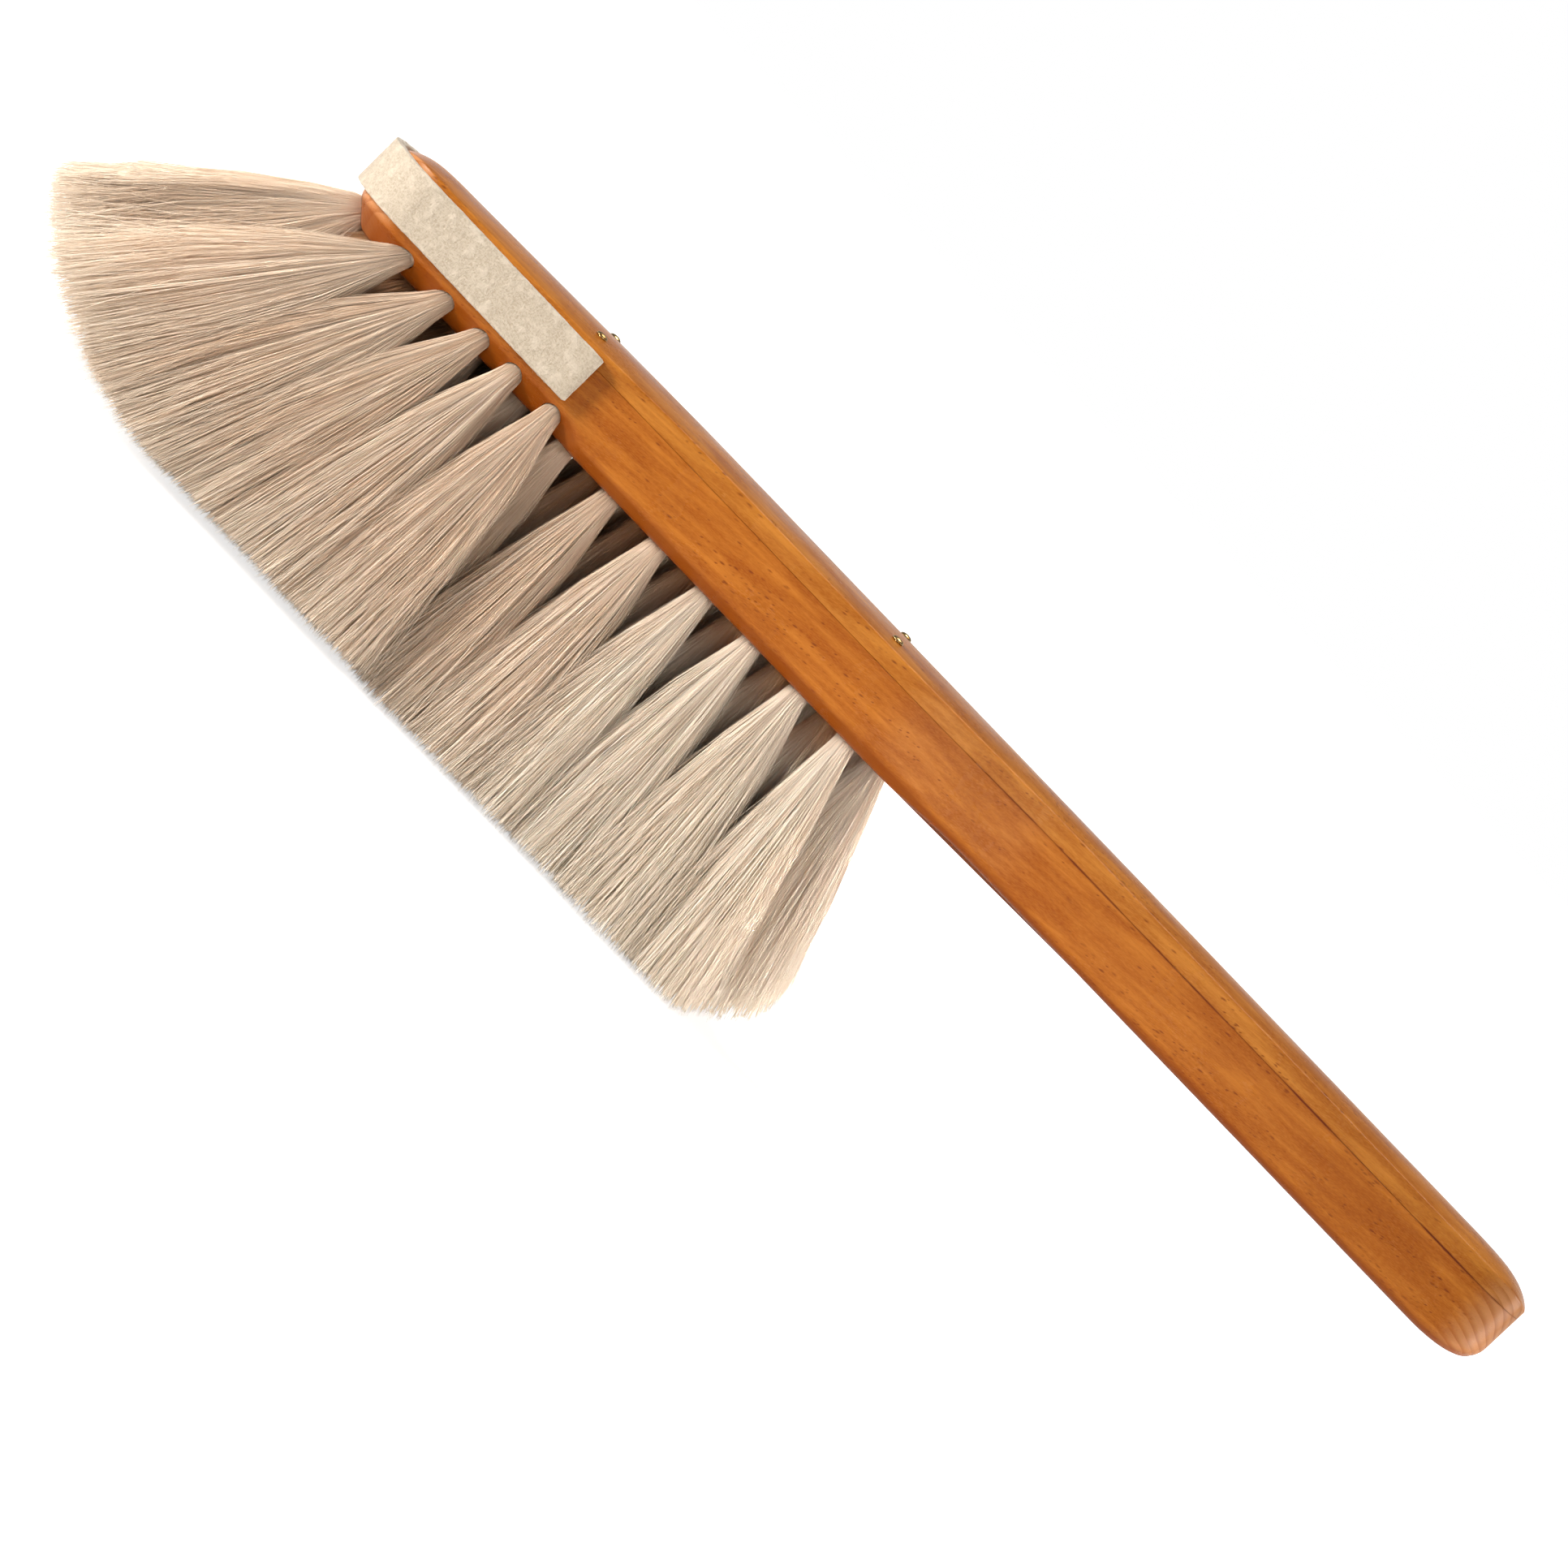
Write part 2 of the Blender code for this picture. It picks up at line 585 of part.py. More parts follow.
def cover_board_shape(points):
    """Crowned board that closes the lower board over its whole length."""
    rows = []
    for point in points:
        row = [Vector((point.x, 0, COVER_BOTTOM)), Vector((point.x, point.y, COVER_BOTTOM)),
               Vector((point.x, point.y, cover_edge(point.x)))]
        row += [Vector((point.x, point.y * share, cover_top(point.x, share))) for share in CROWN_SHARES]
        rows.append(row)
    return mirrored_body(rows)


def recess_shape(points, normals):
    """Cutter for the pocket in which the wires run."""
    rim = []
    for point, normal in zip(points, normals):
        place = point + normal * RECESS_RIM
        if place.x <= RECESS_END:
            rim.append(place)
    rim.append(Vector((RECESS_END, rim[-1].y)))
    top = SEAM_HEIGHT + RECESS_DEPTH
    rows = [[Vector((place.x, 0, RECESS_FLOOR)), Vector((place.x, place.y, RECESS_FLOOR)),
             Vector((place.x, place.y, top)), Vector((place.x, 0, top))] for place in rim]
    rows.append([Vector((RECESS_END, 0, height)) for height in (RECESS_FLOOR, RECESS_FLOOR, top, top)])
    return mirrored_body(rows)


def felt_path(points, normals):
    """Inner face of the felt in plan, from its right end round the nose to its left end."""
    half = []
    for point, normal in zip(points, normals):
        if point.x < FELT_END:
            half.append(point - normal * FIT_GAP)
    end = half_width(FELT_END) + FIT_GAP
    half.append(Vector((FELT_END, end)))
    left = [Vector((place.x, -place.y)) for place in half[1:]]
    return half[::-1] + left


def add_felt(points, normals, collection, material):
    """Felt strip: an upright ribbon along the outline, thickened outwards."""
    shape = bmesh.new()
    path = felt_path(points, normals)
    low = [shape.verts.new((place.x, place.y, HAIR_HEIGHT + FELT_BOTTOM)) for place in path]
    edges = [shape.edges.new(pair) for pair in zip(low, low[1:])]
    raised = bmesh.ops.extrude_edge_only(shape, edges=edges)["geom"]
    bmesh.ops.translate(shape, verts=[part for part in raised if isinstance(part, bmesh.types.BMVert)],
                        vec=(0, 0, FELT_HEIGHT))
    bmesh.ops.recalc_face_normals(shape, faces=shape.faces[:])
    nose = min(shape.faces, key=lambda face: face.calc_center_median().x)
    if nose.normal.x > 0:
        bmesh.ops.reverse_faces(shape, faces=shape.faces[:])
    felt = add_mesh("felt_strip", shape, collection, material)
    solidify = felt.modifiers.new("thickness", 'SOLIDIFY')
    solidify.thickness = FELT_THICKNESS
    solidify.offset = 1
    solidify.use_even_offset = True
    return felt


def pin_seat(station):
    """Height of a pin head's underside over the crowned back."""
    across = PIN_OFFSET / half_width(station)
    slope = (cover_top(station, across) - cover_top(station, across + 0.01)) / (0.01 * half_width(station))
    return cover_top(station, across) + slope * PIN_HEAD_RADIUS + FIT_GAP


def add_pins(collection, material, cover_cutters, lower_cutters):
    """Four brass pins, and the holes that they need in both boards."""
    head = PIN_HEAD_HEIGHT
    profile = [(0, -PIN_LENGTH), (PIN_RADIUS, PIN_POINT - PIN_LENGTH), (PIN_RADIUS, 0),
               (PIN_HEAD_RADIUS, 0), (PIN_HEAD_RADIUS, head * 0.3), (PIN_HEAD_RADIUS * 0.7, head * 0.8),
               (0, head)]
    hole = (PIN_RADIUS + HOLE_CLEARANCE) / math.cos(math.pi / PIN_SIDES)
    for place, station in zip(("front", "rear"), PIN_STATIONS):
        for label, side in (("left", -1), ("right", 1)):
            seat = Vector((station, side * PIN_OFFSET, pin_seat(station)))
            pin = add_mesh(f"pin_{place}_{label}", turned(profile, PIN_SIDES), collection, material)
            pin.location = seat
            bottom = -PIN_LENGTH - FIT_GAP
            top = PIN_HEAD_RADIUS
            for board, cutters in (("cover", cover_cutters), ("lower", lower_cutters)):
                shape = turned([(0, bottom), (hole, bottom), (hole, top), (0, top)], PIN_SIDES)
                cutter = add_mesh(f"pin_hole_{board}_{place}_{label}", shape, cutters)
                cutter.location = seat
                hide_cutter(cutter)


def make_material(name, colour, roughness, metallic=0.0):
    """Principled material."""
    material = bpy.data.materials.new(name)
    material.use_nodes = True
    shader = material.node_tree.nodes["Principled BSDF"]
    shader.inputs["Base Color"].default_value = (*colour, 1)
    shader.inputs["Roughness"].default_value = roughness
    shader.inputs["Metallic"].default_value = metallic
    return material


def new_collection(name, parent):
    """Collection inside another."""
    collection = bpy.data.collections.new(name)
    parent.children.link(collection)
    return collection


def main():
    """Build the brush."""
    for item in list(bpy.data.objects):
        bpy.data.objects.remove(item, do_unlink=True)
    scene = bpy.context.scene.collection
    brush = new_collection("dusting_brush", scene)
    cutters = new_collection("cutters", scene)
    lower_cutters = new_collection("lower_board_cutters", cutters)
    cover_cutters = new_collection("cover_board_cutters", cutters)

    wood = make_material("lacquered_beech", (0.50, 0.19, 0.045), 0.35)
    cover_wood = make_material("lacquered_beech_cover", (0.54, 0.21, 0.05), 0.33)
    hair = make_material("goat_hair", (0.66, 0.52, 0.38), 0.6)
    felt = make_material("wool_felt", (0.80, 0.74, 0.62), 0.95)
    brass = make_material("brass", (0.72, 0.52, 0.22), 0.3, 1.0)
    steel = make_material("drawing_wire", (0.55, 0.54, 0.52), 0.35, 1.0)

    points = half_outline()
    normals = inward_normals(points)
    rows = make_rows()

    lower = add_mesh("lower_board", lower_board_shape(points, normals), brush, wood)
    recess = add_mesh("wire_recess", recess_shape(points, normals), lower_cutters)
    hide_cutter(recess)
    cover = add_mesh("cover_board", cover_board_shape(points), brush, cover_wood)
    add_pins(brush, brass, cover_cutters, lower_cutters)
    add_felt(points, normals, brush, felt)
    for label, row in rows.items():
        for tuft in row:
            stepped_cutter("hole_" + tuft.name, tuft.mouth, tuft.axis, lower_cutters)
            add_mesh(tuft.name, tuft_shape(tuft), brush, hair)
        add_wire(f"drawing_wire_{label}", row, brush, steel)
    cut(lower, lower_cutters)
    cut(cover, cover_cutters)

    reach_front = min(corner.co.x for row in rows.values() for tuft in row
                      for corner in bpy.data.objects[tuft.name].data.vertices)
    origin_station = (reach_front + BRUSH_LENGTH) / 2
    for item in list(brush.objects) + list(lower_cutters.objects) + list(cover_cutters.objects):
        item.location.x -= origin_station
    bpy.context.view_layer.update()


main()
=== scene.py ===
"""Dress a wooden dusting brush: two beech boards, drawn tufts of pale hair, a felt band and brass pins.

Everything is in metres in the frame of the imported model: +Z up, nose towards -X, hair tips at z = 0.
A station is a distance along the brush from the front of the felt; ORIGIN_STATION turns it into x.
"""
import logging
import math
from collections.abc import Callable, Iterable, Sequence
from dataclasses import dataclass, field
from enum import Enum

import bmesh
import bpy
import numpy as np
from mathutils import Matrix, Vector


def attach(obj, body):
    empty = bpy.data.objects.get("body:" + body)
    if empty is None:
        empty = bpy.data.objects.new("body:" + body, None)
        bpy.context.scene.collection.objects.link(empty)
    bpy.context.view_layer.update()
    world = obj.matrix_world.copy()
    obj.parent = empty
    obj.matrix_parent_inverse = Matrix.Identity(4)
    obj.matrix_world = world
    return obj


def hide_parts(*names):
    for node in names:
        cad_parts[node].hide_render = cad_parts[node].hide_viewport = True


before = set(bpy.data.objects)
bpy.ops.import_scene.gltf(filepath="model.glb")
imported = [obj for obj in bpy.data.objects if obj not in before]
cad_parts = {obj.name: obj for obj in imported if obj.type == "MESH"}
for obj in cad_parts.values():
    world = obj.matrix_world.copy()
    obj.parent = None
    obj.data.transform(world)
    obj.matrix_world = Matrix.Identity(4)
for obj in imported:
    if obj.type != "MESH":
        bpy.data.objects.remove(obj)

MM = 0.001
ORIGIN_STATION = 156.0991 * MM
BODY = "root"

log = logging.getLogger("dusting_brush")
Point = tuple[float, float, float]
Colour = tuple[float, float, float, float]
Cell = tuple[float, float, float, float]
Outline = tuple[tuple[float, float], ...]
Socket = bpy.types.NodeSocket
Outputs = bpy.types.NodeOutputs

UP = Vector((0, 0, 1))
GOLDEN_ANGLE = math.pi * (3 - math.sqrt(5))
# The hair's attributes: each strand's tone, and a share of its length that places the painted root shade and
# the painted light at its tip.
TONE, LENGTH = "strand_tone", "strand_length"
NODE_COLUMNS = 12
NODE_STEP = (190, -260)
WHITE = (1.0, 1.0, 1.0, 1.0)


class Side(Enum):
    """Side of the brush, as its sign on the Y axis."""

    LEFT = -1
    MIDDLE = 0
    RIGHT = 1

    @property
    def label(self) -> str:
        """Lower-case name."""
        return self.name.lower()


class Row(Enum):
    """Row of tufts that a hole belongs to."""

    NOSE = "nose"
    BEVEL = "bevel"
    OUTER = "outer"
    CENTRE = "centre"


def from_srgb(red: int, green: int, blue: int) -> Colour:
    """Turn a display colour into the linear colour that a shader takes.

    Args:
        red: Red from 0 to 255.
        green: Green from 0 to 255.
        blue: Blue from 0 to 255.

    Returns:
        Linear red, green, blue and an alpha of 1.
    """
    parts = [value / 255 for value in (red, green, blue)]
    linear = [part / 12.92 if part <= 0.04045 else ((part + 0.055) / 1.055) ** 2.4
              for part in parts]
    return (*linear, 1.0)


def ease(value: float, start: float, end: float, low: float, high: float) -> float:
    """Ease from low at start to high at end.

    Args:
        value: Where on the way the value is read.
        start: Where the change begins.
        end: Where the change ends.
        low: Result at and before start.
        high: Result at and after end.

    Returns:
        The eased value.
    """
    share = min(max((value - start) / (end - start), 0.0), 1.0)
    return low + (high - low) * share * share * (3 - 2 * share)


def quarter_drop(distance: float, length: float, height: float) -> float:
    """Fall of a quarter-ellipse corner.

    Args:
        distance: Distance from where the corner ends.
        length: Length of the corner.
        height: Its full fall.

    Returns:
        The fall at that distance.
    """
    share = min(max(1 - distance / length, 0.0), 1.0)
    return height * (1 - math.sqrt(1 - share * share))


@dataclass(frozen=True)
class Stock:
    """Sizes of the wooden stock, which every piece is fitted to."""

    length: float = 360 * MM
    head_half_width: float = 20 * MM
    handle_half_width: float = 14 * MM
    wood_start: float = 3.3 * MM
    nose_radius: float = 15.7 * MM
    taper_end: float = 68 * MM
    neck_start: float = 166 * MM
    neck_end: float = 214 * MM
    tail_round: float = 21 * MM
    tail_squareness: float = 2.5
    head_underside: float = 67.3 * MM
    handle_lift: float = 0.9 * MM
    lift_start: float = 178 * MM
    lift_end: float = 199 * MM
    tail_lower_length: float = 16.7 * MM
    tail_lower_rise: float = 4.3 * MM
    seam: float = 84.7 * MM
    cover_bottom: float = 85.0 * MM
    cover_edge: float = 4.3 * MM
    head_crown: float = 1.95 * MM
    front_crown: float = 2.4 * MM
    handle_crown: float = 2.1 * MM
    front_dip: float = 0.8 * MM
    front_dip_start: float = 60 * MM
    front_dip_end: float = 100 * MM
    nose_drop: float = 2.9 * MM
    nose_drop_length: float = 9 * MM
    tail_drop: float = 2.9 * MM
    tail_drop_length: float = 11 * MM
    bevel_width: float = 5.5 * MM
    bevel_height: float = 5.9 * MM
    bevel_end: float = 73.5 * MM
    bevel_fade: float = 6 * MM
    head_chamfer: tuple[float, float] = (3.0 * MM, 3.2 * MM)
    handle_chamfer: float = 2.0 * MM
    recess_depth: float = 1.2 * MM
    recess_rim: float = 4.5 * MM
    recess_end: float = 178 * MM

    @property
    def nose_centre(self) -> float:
        """Station of the nose arc's centre."""
        return self.wood_start + self.nose_radius

    @property
    def taper_angle(self) -> float:
        """Angle of the straight flank that joins the nose arc to the full width.

        Returns:
            The angle in radians.
        """
        run = self.taper_end - self.nose_centre
        reach = math.hypot(run, self.head_half_width)
        return math.atan2(self.head_half_width, run) - math.asin(self.nose_radius / reach)

    @property
    def tail_start(self) -> float:
        """Station where the handle's end begins to round."""
        return self.length - self.tail_round

    def half_width(self, station: float) -> float:
        """Half the plan width at a station.

        Args:
            station: Station along the brush.

        Returns:
            Half the width.
        """
        if station < self.nose_centre - self.nose_radius * math.sin(self.taper_angle):
            return math.sqrt(max(self.nose_radius ** 2 - (self.nose_centre - station) ** 2, 0.0))
        if station < self.taper_end:
            return self.head_half_width - (self.taper_end - station) * math.tan(self.taper_angle)
        if station < self.tail_start:
            return ease(station, self.neck_start, self.neck_end, self.head_half_width, self.handle_half_width)
        share = min((station - self.tail_start) / self.tail_round, 1.0)
        return self.handle_half_width * (1 - share ** self.tail_squareness) ** (1 / self.tail_squareness)

    def underside(self, station: float) -> float:
        """Height of the flat underside at a station.

        Args:
            station: Station along the brush.

        Returns:
            The height.
        """
        lift = ease(station, self.lift_start, self.lift_end, 0.0, self.handle_lift)
        return self.head_underside + lift + quarter_drop(
            self.length - station, self.tail_lower_length, self.tail_lower_rise)

    def chamfer(self, station: float) -> tuple[float, float]:
        """Width and height of the chamfer along the lower edge at a station.

        Args:
            station: Station along the brush.

        Returns:
            The width and the height.
        """
        fade_end = self.bevel_end + self.bevel_fade
        if station < fade_end:
            return (ease(station, self.bevel_end, fade_end, self.bevel_width, self.head_chamfer[0]),
                    ease(station, self.bevel_end, fade_end, self.bevel_height, self.head_chamfer[1]))
        return (ease(station, self.lift_start, self.lift_end, self.head_chamfer[0], self.handle_chamfer),
                ease(station, self.lift_start, self.lift_end, self.head_chamfer[1], self.handle_chamfer))

    def cover_side(self, station: float) -> float:
        """Height of the edge between the cover's side and its crowned back.

        Args:
            station: Station along the brush.

        Returns:
            The height.
        """
        dip = ease(station, self.front_dip_start, self.front_dip_end, self.front_dip, 0.0)
        nose = quarter_drop(station - self.wood_start, self.nose_drop_length, self.nose_drop)
        tail = quarter_drop(self.length - station, self.tail_drop_length, self.tail_drop)
        return self.cover_bottom + self.cover_edge - dip - nose - tail

    def cover_back(self, station: float, across: float) -> float:
        """Height of the crowned back.

        Args:
            station: Station along the brush.
            across: 0 on the middle line, 1 at the edge.

        Returns:
            The height there.
        """
        crown = ease(station, self.front_dip_start, self.front_dip_end, self.front_crown, self.head_crown)
        crown += ease(station, self.neck_start, self.neck_end, 0.0, self.handle_crown - self.head_crown)
        if station < self.taper_end:
            crown *= (self.half_width(station) / self.head_half_width) ** 2
        if station > self.tail_start:
            crown *= (self.half_width(station) / self.handle_half_width) ** 2
        return self.cover_side(station) + crown * (1 - across * across)

    def outline(self, arc_steps: int, spacing: float, tail_steps: int) -> list[Vector]:
        """Closed plan outline, counter-clockwise from the nose, in stations and distances aside.

        Args:
            arc_steps: Steps of the nose arc on each side.
            spacing: Distance between points along the flanks.
            tail_steps: Steps of the rounded end on each side.

        Returns:
            Points of the outline.
        """
        half = []
        for step in range(arc_steps):
            turn = math.pi - (math.pi / 2 - self.taper_angle) * step / arc_steps
            half.append(Vector((self.nose_centre + self.nose_radius * math.cos(turn),
                                self.nose_radius * math.sin(turn))))
        half[0].y = 0.0
        start = self.nose_centre - self.nose_radius * math.sin(self.taper_angle)
        count = round((self.tail_start - start) / spacing)
        for step in range(count):
            station = start + (self.tail_start - start) * step / count
            half.append(Vector((station, self.half_width(station))))
        for step in range(tail_steps + 1):
            turn = math.pi / 2 * step / tail_steps
            along = math.sin(turn) ** (2 / self.tail_squareness)
            aside = max(math.cos(turn), 0.0) ** (2 / self.tail_squareness) if step < tail_steps else 0.0
            half.append(Vector((self.tail_start + self.tail_round * along, self.handle_half_width * aside)))
        return half + [Vector((place.x, -place.y)) for place in half[-2:0:-1]]


STOCK = Stock()


def inward(outline: Sequence[Vector]) -> list[Vector]:
    """Unit normals of a closed outline that point into the wood.

    Args:
        outline: Points that start at the nose and run along the right side first.

    Returns:
        One normal for each point.
    """
    normals = []
    count = len(outline)
    for index in range(count):
        before, after = outline[index - 1], outline[(index + 1) % count]
        along = (after - outline[index]).normalized() + (outline[index] - before).normalized()
        along.normalize()
        normals.append(Vector((along.y, -along.x)))
    return normals


def to_model(station: float, aside: float, height: float) -> Vector:
    """Point of the model from a station, a distance aside and a height."""
    return Vector((station - ORIGIN_STATION, aside, height))


class Modeller:
    """Edit-mode steps that the pieces are modelled with."""

    @staticmethod
    def deselect() -> None:
        """Leave edit mode and deselect every object."""
        if bpy.context.object and bpy.context.object.mode != "OBJECT":
            bpy.ops.object.mode_set(mode="OBJECT")
        bpy.ops.object.select_all(action="DESELECT")

    @staticmethod
    def activate(piece: bpy.types.Object) -> None:
        """Make one object the only selected one and the active one.

        Args:
            piece: The object.
        """
        Modeller.deselect()
        piece.select_set(True)
        bpy.context.view_layer.objects.active = piece

    @staticmethod
    def start_ring(name: str, ring: Sequence[Vector]) -> bpy.types.Object:
        """Add a circle and pull its vertices onto the first ring of a loft, in edit mode.

        Args:
            name: Name of the new object.
            ring: Places of the ring's vertices.

        Returns:
            The object, in edit mode with the ring selected.
        """
        Modeller.deselect()
        bpy.ops.mesh.primitive_circle_add(vertices=len(ring), radius=10 * MM, fill_type="NOTHING")
        piece = bpy.context.object
        piece.name = piece.data.name = name
        bpy.ops.object.mode_set(mode="EDIT")
        mesh = bmesh.from_edit_mesh(piece.data)
        order = mesh.verts.layers.int.new("ring_order")
        mesh.verts.ensure_lookup_table()
        for index, place in enumerate(ring):
            mesh.verts[index][order] = index
            mesh.verts[index].co = place
        bmesh.update_edit_mesh(piece.data)
        bpy.ops.mesh.select_all(action="SELECT")
        return piece

    @staticmethod
    def extrude_ring(piece: bpy.types.Object, ring: Sequence[Vector]) -> None:
        """Extrude the selected ring of edges and pull it onto the next ring of a loft.

        Args:
            piece: Object in edit mode.
            ring: Places of the new ring's vertices, in the first ring's order.
        """
        bpy.ops.mesh.extrude_region_move()
        mesh = bmesh.from_edit_mesh(piece.data)
        order = mesh.verts.layers.int["ring_order"]
        for vert in mesh.verts:
            if vert.select:
                vert.co = ring[vert[order]]
        bmesh.update_edit_mesh(piece.data)

    @staticmethod
    def loft(name: str, rings: Sequence[Sequence[Vector]], close: bool = True) -> bpy.types.Object:
        """Model a closed body by extruding a ring from level to level and filling both ends.

        Args:
            name: Name of the new object.
            rings: The rings, each with as many places.
            close: Whether the last ring is filled; one that meets itself needs only a merge.

        Returns:
            The object, in object mode.
        """
        piece = Modeller.start_ring(name, rings[0])
        bpy.ops.mesh.edge_face_add()
        for ring in rings[1:]:
            if ring is rings[1]:
                Modeller.select_ring(piece)
            Modeller.extrude_ring(piece, ring)
        if close:
            bpy.ops.mesh.edge_face_add()
        bpy.ops.mesh.select_all(action="SELECT")
        bpy.ops.mesh.remove_doubles(threshold=0.002 * MM)
        bpy.ops.mesh.dissolve_degenerate(threshold=0.001 * MM)
        bpy.ops.mesh.normals_make_consistent(inside=False)
        bpy.ops.object.mode_set(mode="OBJECT")
        piece.data.attributes.remove(piece.data.attributes["ring_order"])
        return piece

    @staticmethod
    def select_ring(piece: bpy.types.Object) -> None:
        """Select the first ring's edges but not the face that fills them.

        Args:
            piece: Object in edit mode.
        """
        bpy.ops.mesh.select_mode(type="EDGE")
        bpy.ops.mesh.select_all(action="DESELECT")
        mesh = bmesh.from_edit_mesh(piece.data)
        for edge in mesh.edges:
            edge.select = edge.is_boundary or len(edge.link_faces) == 1
        bmesh.update_edit_mesh(piece.data)

    @staticmethod
    def apply(piece: bpy.types.Object, kind: str, **settings: object) -> None:
        """Add a modifier with its settings and apply it.

        Args:
            piece: Object to change.
            kind: Blender's modifier type.
            **settings: Values of the modifier's properties.
        """
        Modeller.activate(piece)
        modifier = piece.modifiers.new(kind.lower(), kind)
        for name, value in settings.items():
            setattr(modifier, name, value)
        bpy.ops.object.modifier_apply(modifier=modifier.name)

    @staticmethod
    def smooth(piece: bpy.types.Object, degrees: float) -> None:
        """Shade a piece smooth up to an angle between its faces.

        Args:
            piece: Object to shade.
            degrees: The largest angle that is smoothed.
        """
        Modeller.activate(piece)
        bpy.ops.object.shade_smooth_by_angle(angle=math.radians(degrees))
        Modeller.apply(piece, "WEIGHTED_NORMAL", keep_sharp=True, weight=80)

    @staticmethod
    def weigh_edges(piece: bpy.types.Object, weight: Callable[[Vector, Vector], float]) -> None:
        """Set each edge's bevel weight from its two ends.

        Args:
            piece: Object in object mode.
            weight: Gives the weight for the places of an edge's ends.
        """
        verts = piece.data.vertices
        Modeller.mark(piece.data, "bevel_weight_edge", "EDGE",
                      [weight(*(verts[index].co for index in edge.vertices)) for edge in piece.data.edges])

    @staticmethod
    def mark(mesh: bpy.types.Mesh, label: str, domain: str, values: Sequence[float] | np.ndarray) -> None:
        """Keep one number for each point or edge of a mesh as an attribute."""
        layer = mesh.attributes.new(label, "FLOAT", domain)
        layer.data.foreach_set("value", np.asarray(values, dtype=np.float32).ravel())

    @staticmethod
    def join(parts: Sequence[bpy.types.Object]) -> bpy.types.Object:
        """Join parts into the first of them.

        Args:
            parts: The parts.

        Returns:
            The first part, now with all of them.
        """
        Modeller.activate(parts[0])
        for part in parts[1:]:
            part.select_set(True)
        bpy.ops.object.join()
        return parts[0]

    @staticmethod
    def drill(piece: bpy.types.Object, cutters: Iterable[bpy.types.Object]) -> None:
        """Cut solids out of a piece and remove them.

        Args:
            piece: Object to drill.
            cutters: Closed solids.
        """
        drills = bpy.data.collections.new("drills")
        cutters = list(cutters)
        for cutter in cutters:
            for home in list(cutter.users_collection):
                home.objects.unlink(cutter)
            drills.objects.link(cutter)
        bpy.context.scene.collection.children.link(drills)
        Modeller.apply(piece, "BOOLEAN", operation="DIFFERENCE", operand_type="COLLECTION",
                       collection=drills, solver="EXACT")
        for cutter in cutters:
            mesh = cutter.data
            bpy.data.objects.remove(cutter)
            bpy.data.meshes.remove(mesh)
        bpy.data.collections.remove(drills)

    @staticmethod
    def turned(name: str, profile: Sequence[tuple[float, float]], sides: int, place: Vector,
               axis: Vector) -> bpy.types.Object:
        """Model a turned body by extruding a circle along its axis.

        Args:
            name: Name of the new object.
            profile: Radius and height of each ring, along the axis.
            sides: Number of sides.
            place: Where height 0 lies.
            axis: Direction of the heights.

        Returns:
            The object, with its place in its mesh.
        """
        turn = Matrix.Translation(place) @ axis.to_track_quat("Z", "Y").to_matrix().to_4x4()
        angles = [2 * math.pi * side / sides for side in range(sides)]
        return Modeller.loft(name, [
            [turn @ Vector((radius * math.cos(angle), radius * math.sin(angle), height)) for angle in angles]
            for radius, height in profile])

    @staticmethod
    def finish(piece: bpy.types.Object, material: bpy.types.Material, slot: str,
               nodes: Sequence[str]) -> None:
        """Dress a finished piece, put it on the body and let it stand for its nodes.

        Args:
            piece: The finished object.
            material: Its material.
            slot: Name of a material slot; not used.
            nodes: CAD nodes that it replaces.
        """
        piece.data.materials.clear()
        piece.data.materials.append(material)
        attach(piece, BODY)
        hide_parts(*nodes)
        log.info("%s: %d faces, stands for %s", piece.name, len(piece.data.polygons), ", ".join(nodes))


